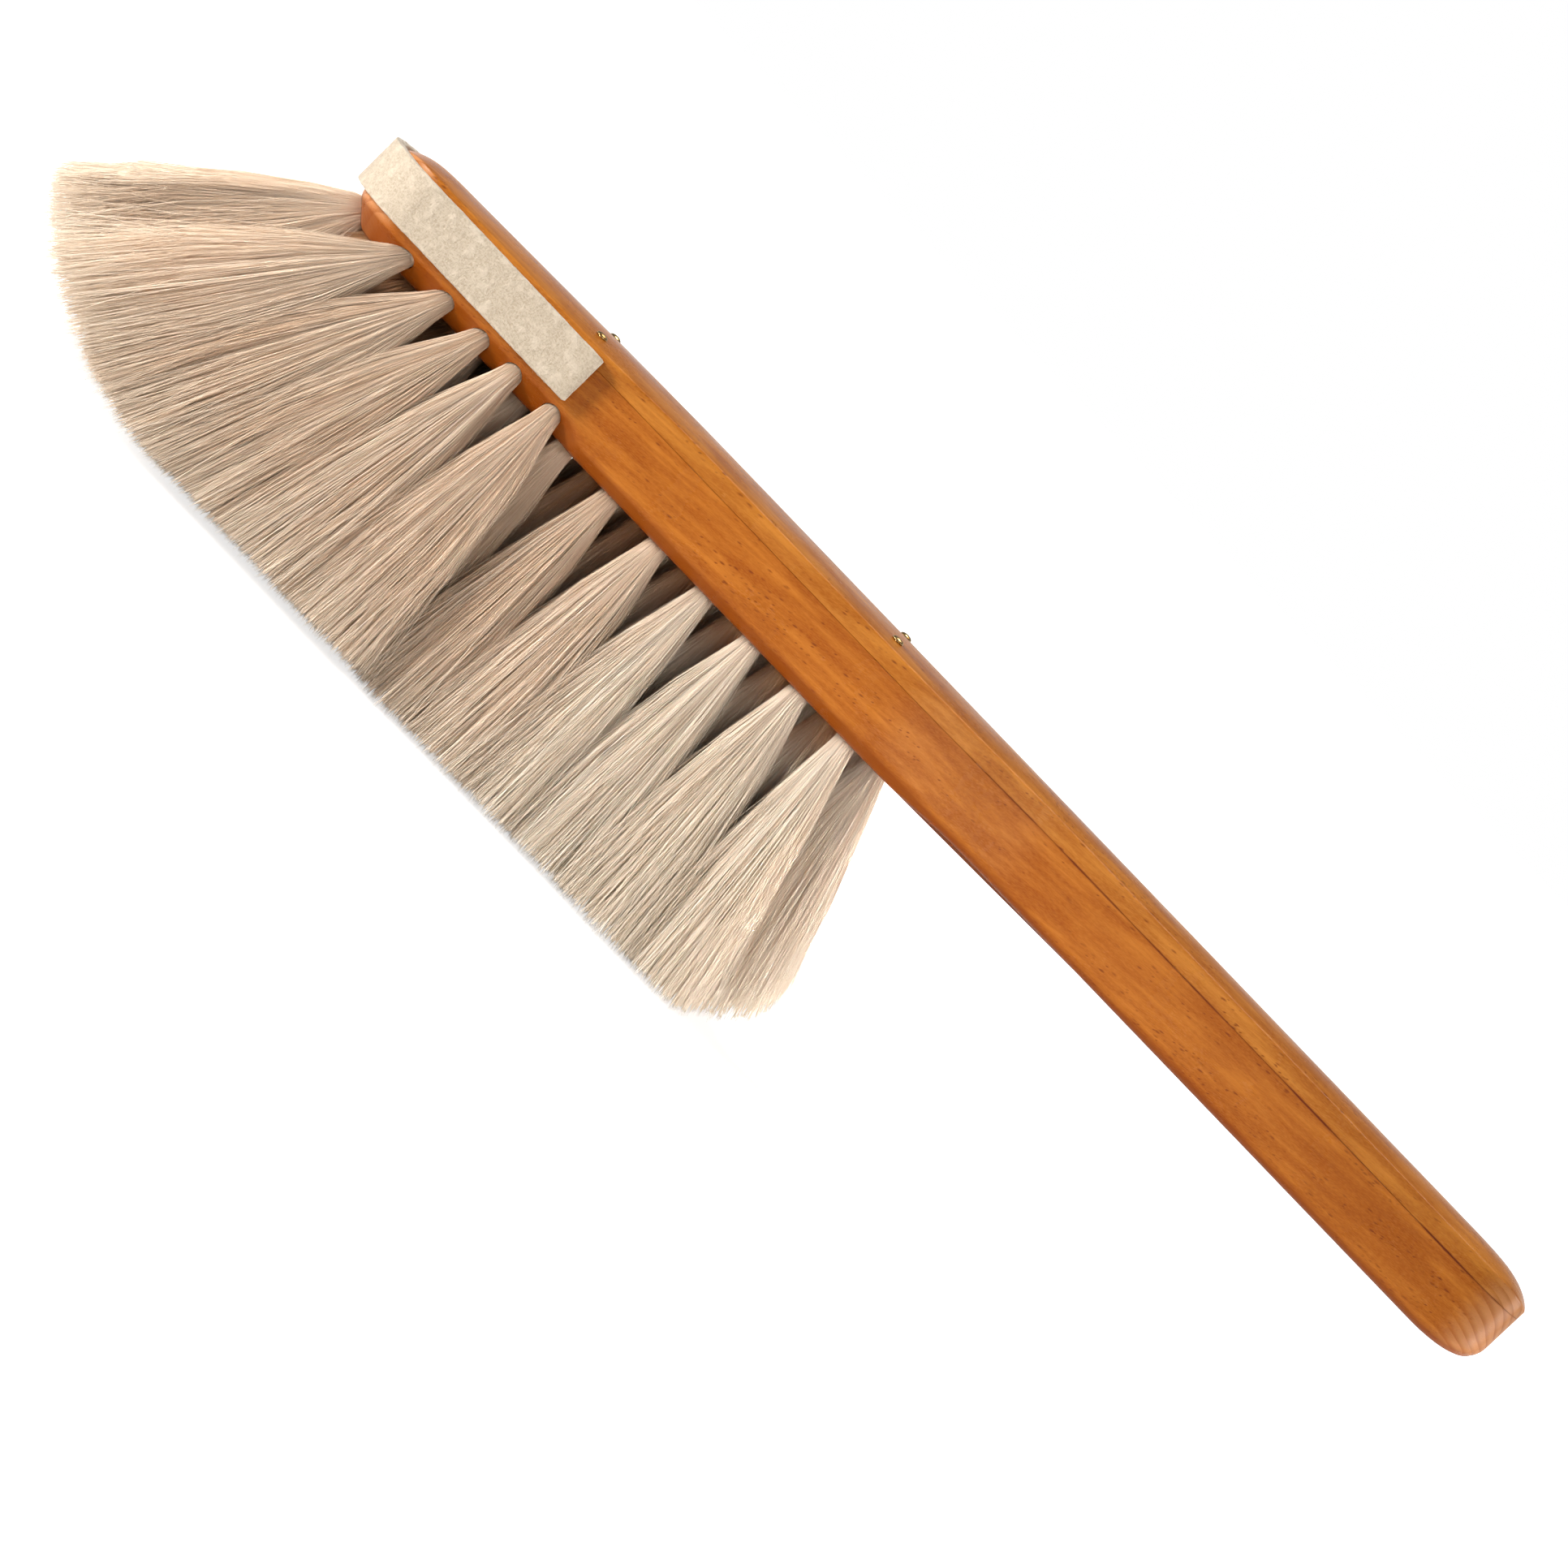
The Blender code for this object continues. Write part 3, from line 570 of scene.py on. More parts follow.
class Graph:
    """A shader node tree under construction."""

    def __init__(self, tree: bpy.types.NodeTree) -> None:
        """Start on a tree."""
        self.tree = tree

    def node(self, kind: str, inputs: dict[str | int, object] | None = None,
             **settings: object) -> bpy.types.Node:
        """Add a node.

        Args:
            kind: Blender's node type.
            inputs: Sockets or values for the node's inputs.
            **settings: The node's properties.

        Returns:
            The node.
        """
        made = self.tree.nodes.new(kind)
        row, column = divmod(len(self.tree.nodes), NODE_COLUMNS)
        made.location = (column * NODE_STEP[0], row * NODE_STEP[1])
        for name, value in settings.items():
            setattr(made, name, value)
        for name, value in (inputs or {}).items():
            self.set(made.inputs[name], value)
        return made

    def set(self, target: Socket, value: object) -> None:
        """Link a socket to a target, or give the target a value.

        Args:
            target: Input socket to link or set.
            value: Output socket or plain value.
        """
        if isinstance(value, bpy.types.NodeSocket):
            self.tree.links.new(value, target)
        else:
            target.default_value = value

    def fill(self, target: bpy.types.Node, **inputs: object) -> None:
        """Link or set a node's inputs by their labels, with _ for a blank."""
        for name, value in inputs.items():
            self.set(target.inputs[name.replace("_", " ")], value)

    def place(self, group: bpy.types.NodeTree, **inputs: object) -> Outputs:
        """Place a shared group.

        Args:
            group: The group.
            **inputs: Sockets or values for its inputs.

        Returns:
            The group's outputs.
        """
        made = self.node("ShaderNodeGroup", node_tree=group)
        self.fill(made, **inputs)
        return made.outputs

    def maths(self, operation: str, first: object, second: object = 0.0) -> Socket:
        """Result of a Math node for two sockets or numbers."""
        return self.node("ShaderNodeMath", {0: first, 1: second}, operation=operation).outputs[0]

    def axes(self, vector: Socket) -> Outputs:
        """X, Y and Z of a vector."""
        return self.node("ShaderNodeSeparateXYZ", {0: vector}).outputs

    def coordinates(self, kind: str = "Object") -> Socket:
        """Texture coordinates of a kind."""
        return self.node("ShaderNodeTexCoord").outputs[kind]

    def blend(self, share: object, one: object, two: object) -> Socket:
        """Colour blended from two, with a share of the second."""
        return self.node("ShaderNodeMix", {0: share, 6: one, 7: two}, data_type="RGBA",
                         clamp_factor=True).outputs[2]

    def tint(self, colour: Socket, target: object, mask: Socket, strength: float) -> Socket:
        """Colour drawn towards a target by a mask times a strength."""
        return self.blend(self.maths("MULTIPLY", mask, strength), colour, target)

    def remap(self, value: object, low: float, high: float, to_low: float = 0.0, to_high: float = 1.0,
              smooth: bool = True) -> Socket:
        """Value moved from one range to another and kept inside it.

        Args:
            value: Socket to read.
            low: Value that becomes to_low.
            high: Value that becomes to_high.
            to_low: First end of the new range.
            to_high: Second end of the new range.
            smooth: Whether the change eases in and out.

        Returns:
            The new value's socket.
        """
        ends = {"Value": value, "From Min": low, "From Max": high, "To Min": to_low, "To Max": to_high}
        kind = "SMOOTHSTEP" if smooth else "LINEAR"
        return self.node("ShaderNodeMapRange", ends, interpolation_type=kind).outputs["Result"]

    def noise(self, vector: Socket, scale: float = 1.0, detail: float = 2.0, roughness: float = 0.5,
              distortion: float = 0.0) -> Socket:
        """Value of a noise texture.

        Args:
            vector: Coordinates.
            scale: Repeats in a unit of the coordinates.
            detail: Octaves.
            roughness: How strong the finer octaves are.
            distortion: How far the pattern is warped.

        Returns:
            The value's socket.
        """
        inputs = {"Vector": vector, "Scale": scale, "Detail": detail, "Roughness": roughness,
                  "Distortion": distortion}
        return self.node("ShaderNodeTexNoise", inputs).outputs["Fac"]

    def stretch(self, vector: Socket, scale: Point, turn: Point = (0.0, 0.0, 0.0),
                shift: Point = (0.0, 0.0, 0.0)) -> Socket:
        """Coordinates scaled, turned by radians and moved by a Mapping node."""
        inputs = {"Vector": vector, "Scale": scale, "Rotation": turn, "Location": shift}
        return self.node("ShaderNodeMapping", inputs).outputs["Vector"]

    def slant(self, vector: Socket, cell: Point, rise: float) -> Socket:
        """Coordinates turned about Y first and then divided by the size of a cell."""
        inputs = {"Vector": vector, "Scale": cell, "Rotation": (0.0, rise, 0.0)}
        return self.node("ShaderNodeMapping", inputs, vector_type="TEXTURE").outputs["Vector"]

    def bump(self, height: Socket, strength: float, distance: float, normal: Socket | None = None) -> Socket:
        """Normal bent by a height.

        Args:
            height: Height socket.
            strength: Share of the effect.
            distance: Height of a value of 1, in metres.
            normal: Normal from an earlier bump.

        Returns:
            The normal's socket.
        """
        inputs = {"Height": height, "Strength": strength, "Distance": distance}
        if normal is not None:
            inputs["Normal"] = normal
        return self.node("ShaderNodeBump", inputs).outputs["Normal"]


def new_group(name: str, inputs: dict[str, float | None],
              outputs: Sequence[str]) -> tuple[Graph, Outputs, bpy.types.Node]:
    """Start a shader node group.

    Args:
        name: Name of the group.
        inputs: Default of each float input, or None for a vector.
        outputs: Labels of its float outputs.

    Returns:
        A graph on the group, its inputs as sockets to read, and its output node.
    """
    group = bpy.data.node_groups.new(name, "ShaderNodeTree")
    for label, value in inputs.items():
        kind = "NodeSocketVector" if value is None else "NodeSocketFloat"
        socket = group.interface.new_socket(label, in_out="INPUT", socket_type=kind)
        if value is not None:
            socket.default_value = value
    for label in outputs:
        group.interface.new_socket(label, in_out="OUTPUT", socket_type="NodeSocketFloat")
    graph = Graph(group)
    return graph, graph.node("NodeGroupInput").outputs, graph.node("NodeGroupOutput")


class Effects:
    """Shader node groups that several finishes share, each built once."""

    grain_rise: float = math.radians(-9)
    fleck_cells: tuple[tuple[Point, float], ...] = (
        ((3.0 * MM, 1.6 * MM, 0.9 * MM), 1.0), ((1.7 * MM, 1.1 * MM, 0.62 * MM), 2.2))

    def __init__(self) -> None:
        """Build the groups."""
        self.timber = self.build_timber()
        self.handling = self.build_handling()
        self.fibre = self.build_fibre()

    def build_timber(self) -> bpy.types.NodeTree:
        """Build the figure of a beech board: growth rings, streaks, ray flecks, cloudy stain and pores.

        Returns:
            The group.
        """
        graph, source, sink = new_group(
            "timber_figure", {"Vector": None, "Pith Aside": 0.0, "Pith Height": 0.1, "Ring Spacing": 0.003},
            ("Rings", "Streaks", "Flecks", "Cloud", "Pores"))
        vector, rise = source["Vector"], self.grain_rise
        warp = graph.noise(graph.stretch(vector, (9.0, 40.0, 40.0)))
        place = graph.axes(vector)
        aside = graph.maths("SUBTRACT", place["Y"], source["Pith Aside"])
        above = graph.maths("SUBTRACT", place["Z"], source["Pith Height"])
        radius = graph.maths("SQRT", graph.maths("ADD", graph.maths("MULTIPLY", aside, aside),
                                                 graph.maths("MULTIPLY", above, above)))
        waver = graph.maths("MULTIPLY", graph.maths("SUBTRACT", warp, 0.5), 7 * MM)
        turns = graph.maths("DIVIDE", graph.maths("ADD", radius, waver), source["Ring Spacing"])
        ring = graph.maths("FRACT", turns)
        late, early = graph.remap(ring, 0.35, 0.93), graph.remap(ring, 0.93, 1.0, 1.0, 0.0)
        rings = graph.maths("MULTIPLY", late, early)
        streaks = graph.noise(graph.slant(vector, (22 * MM, 1.1 * MM, 1.1 * MM), rise / 2), 1.0, 3.0, 0.6)
        cloud = graph.noise(graph.slant(vector, (24 * MM, 6 * MM, 3.2 * MM), rise / 2), 1.0, 5.0, 0.62, 0.3)
        lines = graph.noise(graph.slant(vector, (60 * MM, 9 * MM, 1.7 * MM), rise / 4), 1.0, 1.0)
        patchy = graph.remap(lines, 0.50, 0.60)
        flecks = 0.0
        for cell, tilt in self.fleck_cells:
            cells = graph.node("ShaderNodeTexVoronoi", {"Vector": graph.slant(vector, cell, rise * tilt),
                                                        "Scale": 1.0, "Randomness": 1.0}).outputs
            chosen = graph.node("ShaderNodeSeparateColor", {0: cells["Color"]}).outputs[0]
            drop = graph.maths("MULTIPLY", graph.remap(cells["Distance"], 0.10, 0.36, 1.0, 0.0),
                               graph.remap(chosen, 0.45, 0.75))
            flecks = graph.maths("MAXIMUM", flecks, graph.maths("MULTIPLY", drop, patchy))
        pores = graph.noise(graph.slant(vector, (1.2 * MM, 0.2 * MM, 0.2 * MM), rise), 1.0, 2.0, 0.6)
        graph.fill(sink, Rings=rings, Streaks=streaks, Flecks=flecks, Cloud=cloud, Pores=pores)
        return graph.tree

    @staticmethod
    def build_handling() -> bpy.types.NodeTree:
        """Build marks of handling: soft smudges.

        Returns:
            The group.
        """
        graph, source, sink = new_group("handling_marks", {"Vector": None, "Scale": 60.0}, ("Smudge",))
        scaled = graph.node("ShaderNodeVectorMath", {0: source["Vector"]}, operation="SCALE")
        graph.fill(scaled, Scale=source["Scale"])
        graph.fill(sink, Smudge=graph.noise(scaled.outputs[0], 1.0, 4.0, 0.55, 0.6))
        return graph.tree

    @staticmethod
    def build_fibre() -> bpy.types.NodeTree:
        """Build matted fibres that lie in two crossing directions, as in felt.

        Returns:
            The group.
        """
        graph, source, sink = new_group("matted_fibre", {"Vector": None}, ("Fibres", "Lumps"))
        vector = source["Vector"]
        bent = graph.node("ShaderNodeTexNoise", {"Vector": vector, "Scale": 260.0, "Detail": 2.0})
        push = graph.node("ShaderNodeVectorMath", {0: bent.outputs["Color"]}, operation="SCALE")
        graph.fill(push, Scale=1.6 * MM)
        moved = graph.node("ShaderNodeVectorMath", {0: vector, 1: push.outputs[0]},
                           operation="ADD").outputs[0]
        one, two = (graph.noise(graph.stretch(moved, scale, (0.0, math.radians(lean), turn)), 1.0, 2.0, 0.6)
                    for scale, lean, turn in (((1300.0, 1300.0, 3400.0), 38, 0.3),
                                              ((3200.0, 3200.0, 1500.0), -33, -0.3)))
        graph.fill(sink, Fibres=graph.maths("MULTIPLY", graph.maths("ADD", one, two), 0.5),
                   Lumps=graph.noise(vector, 420.0))
        return graph.tree


@dataclass(frozen=True)
class Finish:
    """What every finish shares: a name and the groups it may place."""

    name: str
    effects: Effects

    def start(self) -> tuple[bpy.types.Material, Graph, bpy.types.Node, Socket]:
        """Start a material.

        Returns:
            The material, its graph, its Principled shader and the object coordinates.
        """
        material = bpy.data.materials.new(self.name)
        material.use_nodes = True
        graph = Graph(material.node_tree)
        return material, graph, material.node_tree.nodes["Principled BSDF"], graph.coordinates()


@dataclass(frozen=True)
class BeechFinish(Finish):
    """Oiled and stained beech with a satin coat."""

    base: Colour = from_srgb(179, 98, 25)
    deep: Colour = from_srgb(140, 65, 12)
    pale: Colour = from_srgb(204, 126, 46)
    fleck: Colour = from_srgb(120, 56, 18)
    end_grain: Colour = from_srgb(204, 142, 92)
    joint_line: Colour = from_srgb(112, 44, 20)
    pith_aside: float = 13 * MM
    pith_height: float = 112 * MM
    ring_spacing: float = 2.0 * MM
    shift: Point = (0.0, 0.0, 0.0)

    def build(self) -> bpy.types.Material:
        """Build the material.

        Returns:
            The material.
        """
        material, graph, shader, place = self.start()
        vector = graph.stretch(place, (1.0, 1.0, 1.0), shift=self.shift)
        figure = graph.place(self.effects.timber, Vector=vector, Pith_Aside=self.pith_aside,
                             Pith_Height=self.pith_height, Ring_Spacing=self.ring_spacing)
        marks = graph.place(self.effects.handling, Vector=vector, Scale=55.0)
        colour = graph.blend(graph.remap(figure["Cloud"], 0.34, 0.68), self.deep, self.pale)
        colour = graph.blend(0.42, colour, self.base)
        colour = graph.tint(colour, self.deep, graph.remap(figure["Streaks"], 0.40, 0.66), 0.34)
        colour = graph.tint(colour, self.deep, figure["Rings"], 0.14)
        colour = graph.tint(colour, self.pale, graph.remap(figure["Pores"], 0.35, 0.7), 0.34)
        facing = graph.axes(graph.node("ShaderNodeNewGeometry").outputs["Normal"])
        ends = graph.remap(graph.maths("ABSOLUTE", facing["X"]), 0.12, 0.5)
        ringed = graph.blend(graph.maths("MULTIPLY", figure["Rings"], 0.5), self.end_grain, self.deep)
        colour = graph.tint(colour, ringed, ends, 0.8)
        flecks = graph.maths("MULTIPLY", figure["Flecks"], graph.remap(ends, 0.0, 1.0, 0.85, 0.12))
        colour = graph.blend(flecks, colour, self.fleck)
        # Painted shade: faces that turn downwards, the lower chamfer most, are drawn towards the deep colour.
        under = graph.remap(graph.maths("MULTIPLY", facing["Z"], -1.0), 0.12, 0.8, 0.0, 0.85)
        colour = self.stain_joint(graph, place, graph.blend(under, colour, self.deep))
        rough = graph.maths("ADD", graph.remap(marks["Smudge"], 0.3, 0.7, 0.17, 0.28, smooth=False),
                            graph.maths("MULTIPLY", figure["Pores"], 0.06))
        relief = graph.bump(figure["Streaks"], 0.4, 0.12 * MM, graph.bump(figure["Pores"], 0.5, 0.05 * MM))
        graph.fill(shader, Base_Color=colour, Roughness=rough, Normal=relief, Coat_Weight=0.03,
                   Coat_Roughness=0.16, Specular_IOR_Level=0.17)
        return material

    def stain_joint(self, graph: Graph, place: Socket, colour: Socket) -> Socket:
        """Darken the wood where the two boards meet.

        Args:
            graph: The material's graph.
            place: Object coordinates.
            colour: Colour so far.

        Returns:
            The colour with the joint line.
        """
        axes, middle = graph.axes(place), (STOCK.seam + STOCK.cover_bottom) / 2
        away = graph.maths("ABSOLUTE", graph.maths("SUBTRACT", axes["Z"], middle))
        line = graph.remap(away, 0.10 * MM, 0.42 * MM, 1.0, 0.0)
        gaps = graph.noise(graph.stretch(place, (46.0, 10.0, 10.0)), 1.0, 3.0, 0.6)
        shown = graph.maths("MULTIPLY", line, graph.remap(gaps, 0.40, 0.66, 0.2, 0.9))
        reach = graph.remap(axes["X"], 18 * MM, 48 * MM, 0.12, 1.0)
        return graph.blend(graph.maths("MULTIPLY", shown, reach), colour, self.joint_line)


@dataclass(frozen=True)
class HairFinish(Finish):
    """Fine goat hair, coloured strand by strand."""

    shade: Colour = from_srgb(232, 199, 167)
    body: Colour = from_srgb(253, 231, 207)
    light: Colour = from_srgb(255, 242, 223)
    # Dark brown of the painted shade at the roots, between the tufts.
    root: Colour = from_srgb(180, 114, 36)

    def build(self) -> bpy.types.Material:
        """Build the material.

        Returns:
            The material.
        """
        material, graph, shader, place = self.start()
        tone, along = (graph.node("ShaderNodeAttribute", attribute_name=label).outputs["Fac"]
                       for label in (TONE, LENGTH))
        fleck = graph.noise(graph.stretch(place, (420.0, 420.0, 90.0)))
        mixed = graph.maths("ADD", graph.maths("MULTIPLY", tone, 0.8), graph.maths("MULTIPLY", fleck, 0.2))
        colour = graph.blend(graph.remap(mixed, 0.12, 0.5), self.shade, self.body)
        colour = graph.blend(graph.remap(mixed, 0.55, 0.95), colour, self.light)
        # Painted light: the tips are drawn towards the light colour, as if lit through.
        colour = graph.blend(graph.remap(along, 0.7, 1.0, 0.0, 0.4), colour, self.light)
        # Painted shade: the roots are drawn towards dark brown, far up the middle row, where the gaps between
        # the tufts are in shade.
        colour = graph.blend(graph.remap(along, 0.0, 0.3, 0.8, 0.0), colour, self.root)
        ripple = graph.noise(graph.stretch(place, (2600.0, 2600.0, 500.0)), 1.0, 1.0)
        graph.fill(shader, Base_Color=colour, Normal=graph.bump(ripple, 0.25, 0.03 * MM),
                   Roughness=graph.remap(tone, 0.0, 1.0, 0.5, 0.36, smooth=False), Specular_IOR_Level=0.8,
                   Sheen_Weight=0.4, Sheen_Roughness=0.45, Sheen_Tint=self.light)
        return material


@dataclass(frozen=True)
class FeltFinish(Finish):
    """Thick undyed wool felt."""

    wool: Colour = from_srgb(208, 194, 174)
    hollow: Colour = from_srgb(184, 167, 145)
    cut: Colour = from_srgb(226, 212, 193)

    def build(self) -> bpy.types.Material:
        """Build the material.

        Returns:
            The material.
        """
        material, graph, shader, place = self.start()
        matted = graph.place(self.effects.fibre, Vector=place)
        marks = graph.place(self.effects.handling, Vector=place, Scale=120.0)
        colour = graph.blend(graph.remap(matted["Fibres"], 0.36, 0.62), self.hollow, self.wool)
        colour = graph.blend(graph.remap(matted["Lumps"], 0.5, 0.7, 0.0, 0.5), colour, self.cut)
        colour = graph.blend(graph.remap(marks["Smudge"], 0.45, 0.75, 0.0, 0.22), colour, self.hollow)
        relief = graph.bump(matted["Fibres"], 0.85, 0.28 * MM, graph.bump(matted["Lumps"], 0.6, 0.35 * MM))
        graph.fill(shader, Base_Color=colour, Normal=relief, Sheen_Weight=0.35, Sheen_Roughness=0.5,
                   Roughness=graph.remap(matted["Fibres"], 0.3, 0.7, 0.98, 0.82), Specular_IOR_Level=0.15)
        return material


@dataclass(frozen=True)
class MetalFinish(Finish):
    """Metal with fine scratches and a dull film in its low places."""

    bright: Colour = from_srgb(248, 214, 150)
    dull: Colour = from_srgb(156, 106, 50)
    roughness: float = 0.2
    film_roughness: float = 0.2

    def build(self) -> bpy.types.Material:
        """Build the material.

        Returns:
            The material.
        """
        material, graph, shader, place = self.start()
        smudge = graph.place(self.effects.handling, Vector=place, Scale=900.0)["Smudge"]
        scratches = graph.noise(graph.stretch(place, (2600.0, 14000.0, 9000.0)))
        graph.fill(shader, Base_Color=graph.blend(graph.remap(smudge, 0.35, 0.7), self.bright, self.dull),
                   Roughness=graph.remap(smudge, 0.3, 0.7, self.roughness,
                                         self.roughness + self.film_roughness, smooth=False),
                   Metallic=1.0, Normal=graph.bump(scratches, 0.3, 0.01 * MM))
        return material


@dataclass
class TuftHole:
    """Where one tuft is drawn into the lower board, and the patch that its tips fill."""

    node: str
    row: Row
    side: Side
    mouth: Vector
    axis: Vector
    tip_station: float
    cell: Cell = (0.0, 0.0, 0.0, 0.0)

    @property
    def on_bevel(self) -> bool:
        """Whether it opens in the bevel round the nose."""
        return self.row in (Row.NOSE, Row.BEVEL)


@dataclass
class TuftPlan:
    """Layout of the tuft rows: stations, leans, splays and the trimmed surface of the hair."""

    plug_radius: float = 2.45 * MM
    clearance: float = 0.35 * MM
    hole_depth: float = 9 * MM
    pitch: float = 14.9 * MM
    outer_last: float = 166 * MM
    outer_count: int = 10
    outer_offset: float = 12.5 * MM
    front_inset: float = 12.3 * MM
    right_shift: float = 3.9 * MM
    outer_splay: float = math.radians(7)
    front_splay: float = math.radians(5)
    centre_first: float = 15.2 * MM
    centre_last: float = 174.6 * MM
    centre_count: int = 12
    bevel_stations: tuple[float, ...] = (21.4 * MM, 34.9 * MM, 46.6 * MM, 57.2 * MM, 69.6 * MM)
    bevel_front_spread: float = 11.5 * MM
    bevel_back_spread: float = 9.2 * MM
    bevel_splay: float = math.radians(12)
    nose_lean: float = math.radians(48)
    nose_lean_end: float = 72 * MM
    nose_lean_power: float = 1.3
    middle_lean: float = math.radians(3)
    middle_lean_station: float = 85 * MM
    middle_lean_reach: float = 37 * MM
    heel_lean: float = math.radians(11)
    heel_lean_start: float = 120 * MM
    heel_lean_power: float = 1.5
    front_reach: float = 48 * MM
    nose_cell_length: float = 14.6 * MM
    nose_cell_half: float = 13 * MM
    heel_flare: float = 9.5 * MM
    front_trim_start: float = 20 * MM
    front_trim_radius: float = 87 * MM
    heel_trim_start: float = 178 * MM
    heel_trim_radius: float = 21 * MM
    flat_trim: float = 0.5 * MM
    bevel_tip_rise: float = 1.8 * MM
    centre_band: float = 8.8 * MM
    outer_band: float = 29.8 * MM
    front_band: float = 21.6 * MM
    first_band: float = 11 * MM
    bevel_band: float = 37.5 * MM
    trim_steps: int = 40
    tufts: list[TuftHole] = field(default_factory=list)

    def front_lean(self, station: float) -> float:
        """Forward lean round the nose at a station."""
        reach = self.nose_lean_end - STOCK.wood_start - STOCK.bevel_width / 2
        return self.nose_lean * max((self.nose_lean_end - station) / reach, 0.0) ** self.nose_lean_power

    def row_lean(self, station: float) -> float:
        """Lean along the underside at a station, forward positive.

        Args:
            station: Station along the brush.

        Returns:
            The lean in radians.
        """
        away = (station - self.middle_lean_station) / self.middle_lean_reach
        heel = max((station - self.heel_lean_start) / (self.centre_last - self.heel_lean_start), 0.0)
        return (self.front_lean(station) + self.middle_lean * max(1 - away * away, 0.0)
                - self.heel_lean * heel ** self.heel_lean_power)

    def trim(self, station: float) -> float:
        """Height at which the trimmed hair ends.

        Args:
            station: Station along the brush.

        Returns:
            The height.
        """
        ahead = max(self.front_trim_start - station, 0.0)
        behind = max(station - self.heel_trim_start, 0.0)
        rounded = ahead ** 2 / (2 * self.front_trim_radius) + behind ** 2 / (2 * self.heel_trim_radius)
        return max(rounded - self.flat_trim, 0.0)

    def meet_trim(self, mouth: Vector, slope: float) -> float:
        """Station where a tuft's middle line meets the trimmed surface, found by halving.

        Args:
            mouth: Mouth of the hole, in stations.
            slope: Tangent of the forward lean.

        Returns:
            The station.
        """
        near, far = mouth.x, mouth.x - slope * mouth.z
        for _ in range(self.trim_steps):
            middle = (near + far) / 2
            if abs(middle - mouth.x) < abs(slope) * (mouth.z - self.trim(middle)):
                near = middle
            else:
                far = middle
        return (near + far) / 2

    def hole(self, node: str, row: Row, station: float, side: Side, lean: float, splay: float) -> TuftHole:
        """Place one hole.

        Args:
            node: Name of the tuft's CAD node.
            row: Row that it belongs to.
            station: Station of its mouth.
            side: Side of the brush.
            lean: Forward lean.
            splay: Outward splay.

        Returns:
            The hole.
        """
        height = STOCK.head_underside
        if row in (Row.NOSE, Row.BEVEL):
            aside = STOCK.half_width(station) - STOCK.bevel_width / 2
            height += STOCK.bevel_height / 2
        elif row is Row.OUTER and station < STOCK.bevel_end:
            aside = STOCK.half_width(station) - self.front_inset
        else:
            aside = self.outer_offset
        mouth = Vector((station, side.value * aside, height))
        axis = Vector((-math.tan(lean), side.value * math.tan(splay), -1.0)).normalized()
        return TuftHole(node, row, side, mouth, axis, self.meet_trim(mouth, math.tan(lean)))

    def add_row(self, row: list[TuftHole], front: float, back: float,
                band: Callable[[TuftHole], tuple[float, float]]) -> None:
        """Share the length of a row's tips among its tufts, and keep the row.

        Args:
            row: Tufts from front to back.
            front: Station where the first one's tips begin.
            back: Station where the last one's tips end.
            band: Gives the distances aside that a tuft's tips lie between.
        """
        between = [(one.tip_station + two.tip_station) / 2 for one, two in zip(row, row[1:])]
        edges = [front, *between, back]
        for tuft, low, high in zip(row, edges, edges[1:]):
            tuft.cell = (low, high, *band(tuft))
        self.tufts += row

    def lay_centre(self) -> None:
        """Place the middle row, whose first tuft stands apart in the nose."""
        stations = [self.centre_last - self.pitch * left for left in range(self.centre_count - 2, -1, -1)]
        row = [self.hole(f"tuft_centre_{place:02d}", Row.CENTRE, station, Side.MIDDLE,
                         self.row_lean(station), 0.0)
               for place, station in enumerate([self.centre_first, *stations], 1)]
        self.add_row(row, self.nose_cell_length - self.front_reach, row[-1].tip_station + self.heel_flare,
                     lambda tuft: (-self.centre_band, self.centre_band))

    def lay_outer(self, side: Side, shift: float) -> None:
        """Place one side's outer row, with its stations moved by a shift.

        Args:
            side: The side.
            shift: How far back the row is moved.
        """
        row = []
        for place in range(self.outer_count):
            station = self.outer_last + shift - self.pitch * (self.outer_count - 1 - place)
            splay = self.front_splay if station < STOCK.bevel_end else self.outer_splay
            row.append(self.hole(f"tuft_outer_{side.label}_{place + 1:02d}", Row.OUTER, station, side,
                                 self.row_lean(station), splay))
        self.add_row(row, row[0].tip_station - self.pitch / 2, row[-1].tip_station + self.pitch / 2,
                     self.outer_edges)

    def lay_nose(self) -> None:
        """Place the tuft at the tip of the nose."""
        nose = self.hole("tuft_nose", Row.NOSE, STOCK.wood_start + STOCK.bevel_width / 2, Side.MIDDLE,
                         self.nose_lean, 0.0)
        self.add_row([nose], -self.front_reach, self.nose_cell_length - self.front_reach,
                     lambda tuft: (-self.nose_cell_half, self.nose_cell_half))

    def lay_bevel(self, side: Side) -> None:
        """Place one side's tufts in the bevel round the nose.

        Args:
            side: The side.
        """
        row = [self.hole(f"tuft_front_{side.label}_{place}", Row.BEVEL, station, side,
                         self.front_lean(station), self.bevel_splay)
               for place, station in enumerate(self.bevel_stations, 1)]
        self.add_row(row, row[0].tip_station - self.bevel_front_spread,
                     row[-1].tip_station + self.bevel_back_spread,
                     lambda tuft: (self.first_band if tuft is row[0] else self.front_band, self.bevel_band))

    def lay_out(self) -> None:
        """Place every row. Their order numbers the tufts, which sets each one's random source."""
        self.lay_centre()
        for side, shift in ((Side.LEFT, 0.0), (Side.RIGHT, self.right_shift)):
            self.lay_outer(side, shift)
        self.lay_nose()
        for side in (Side.LEFT, Side.RIGHT):
            self.lay_bevel(side)

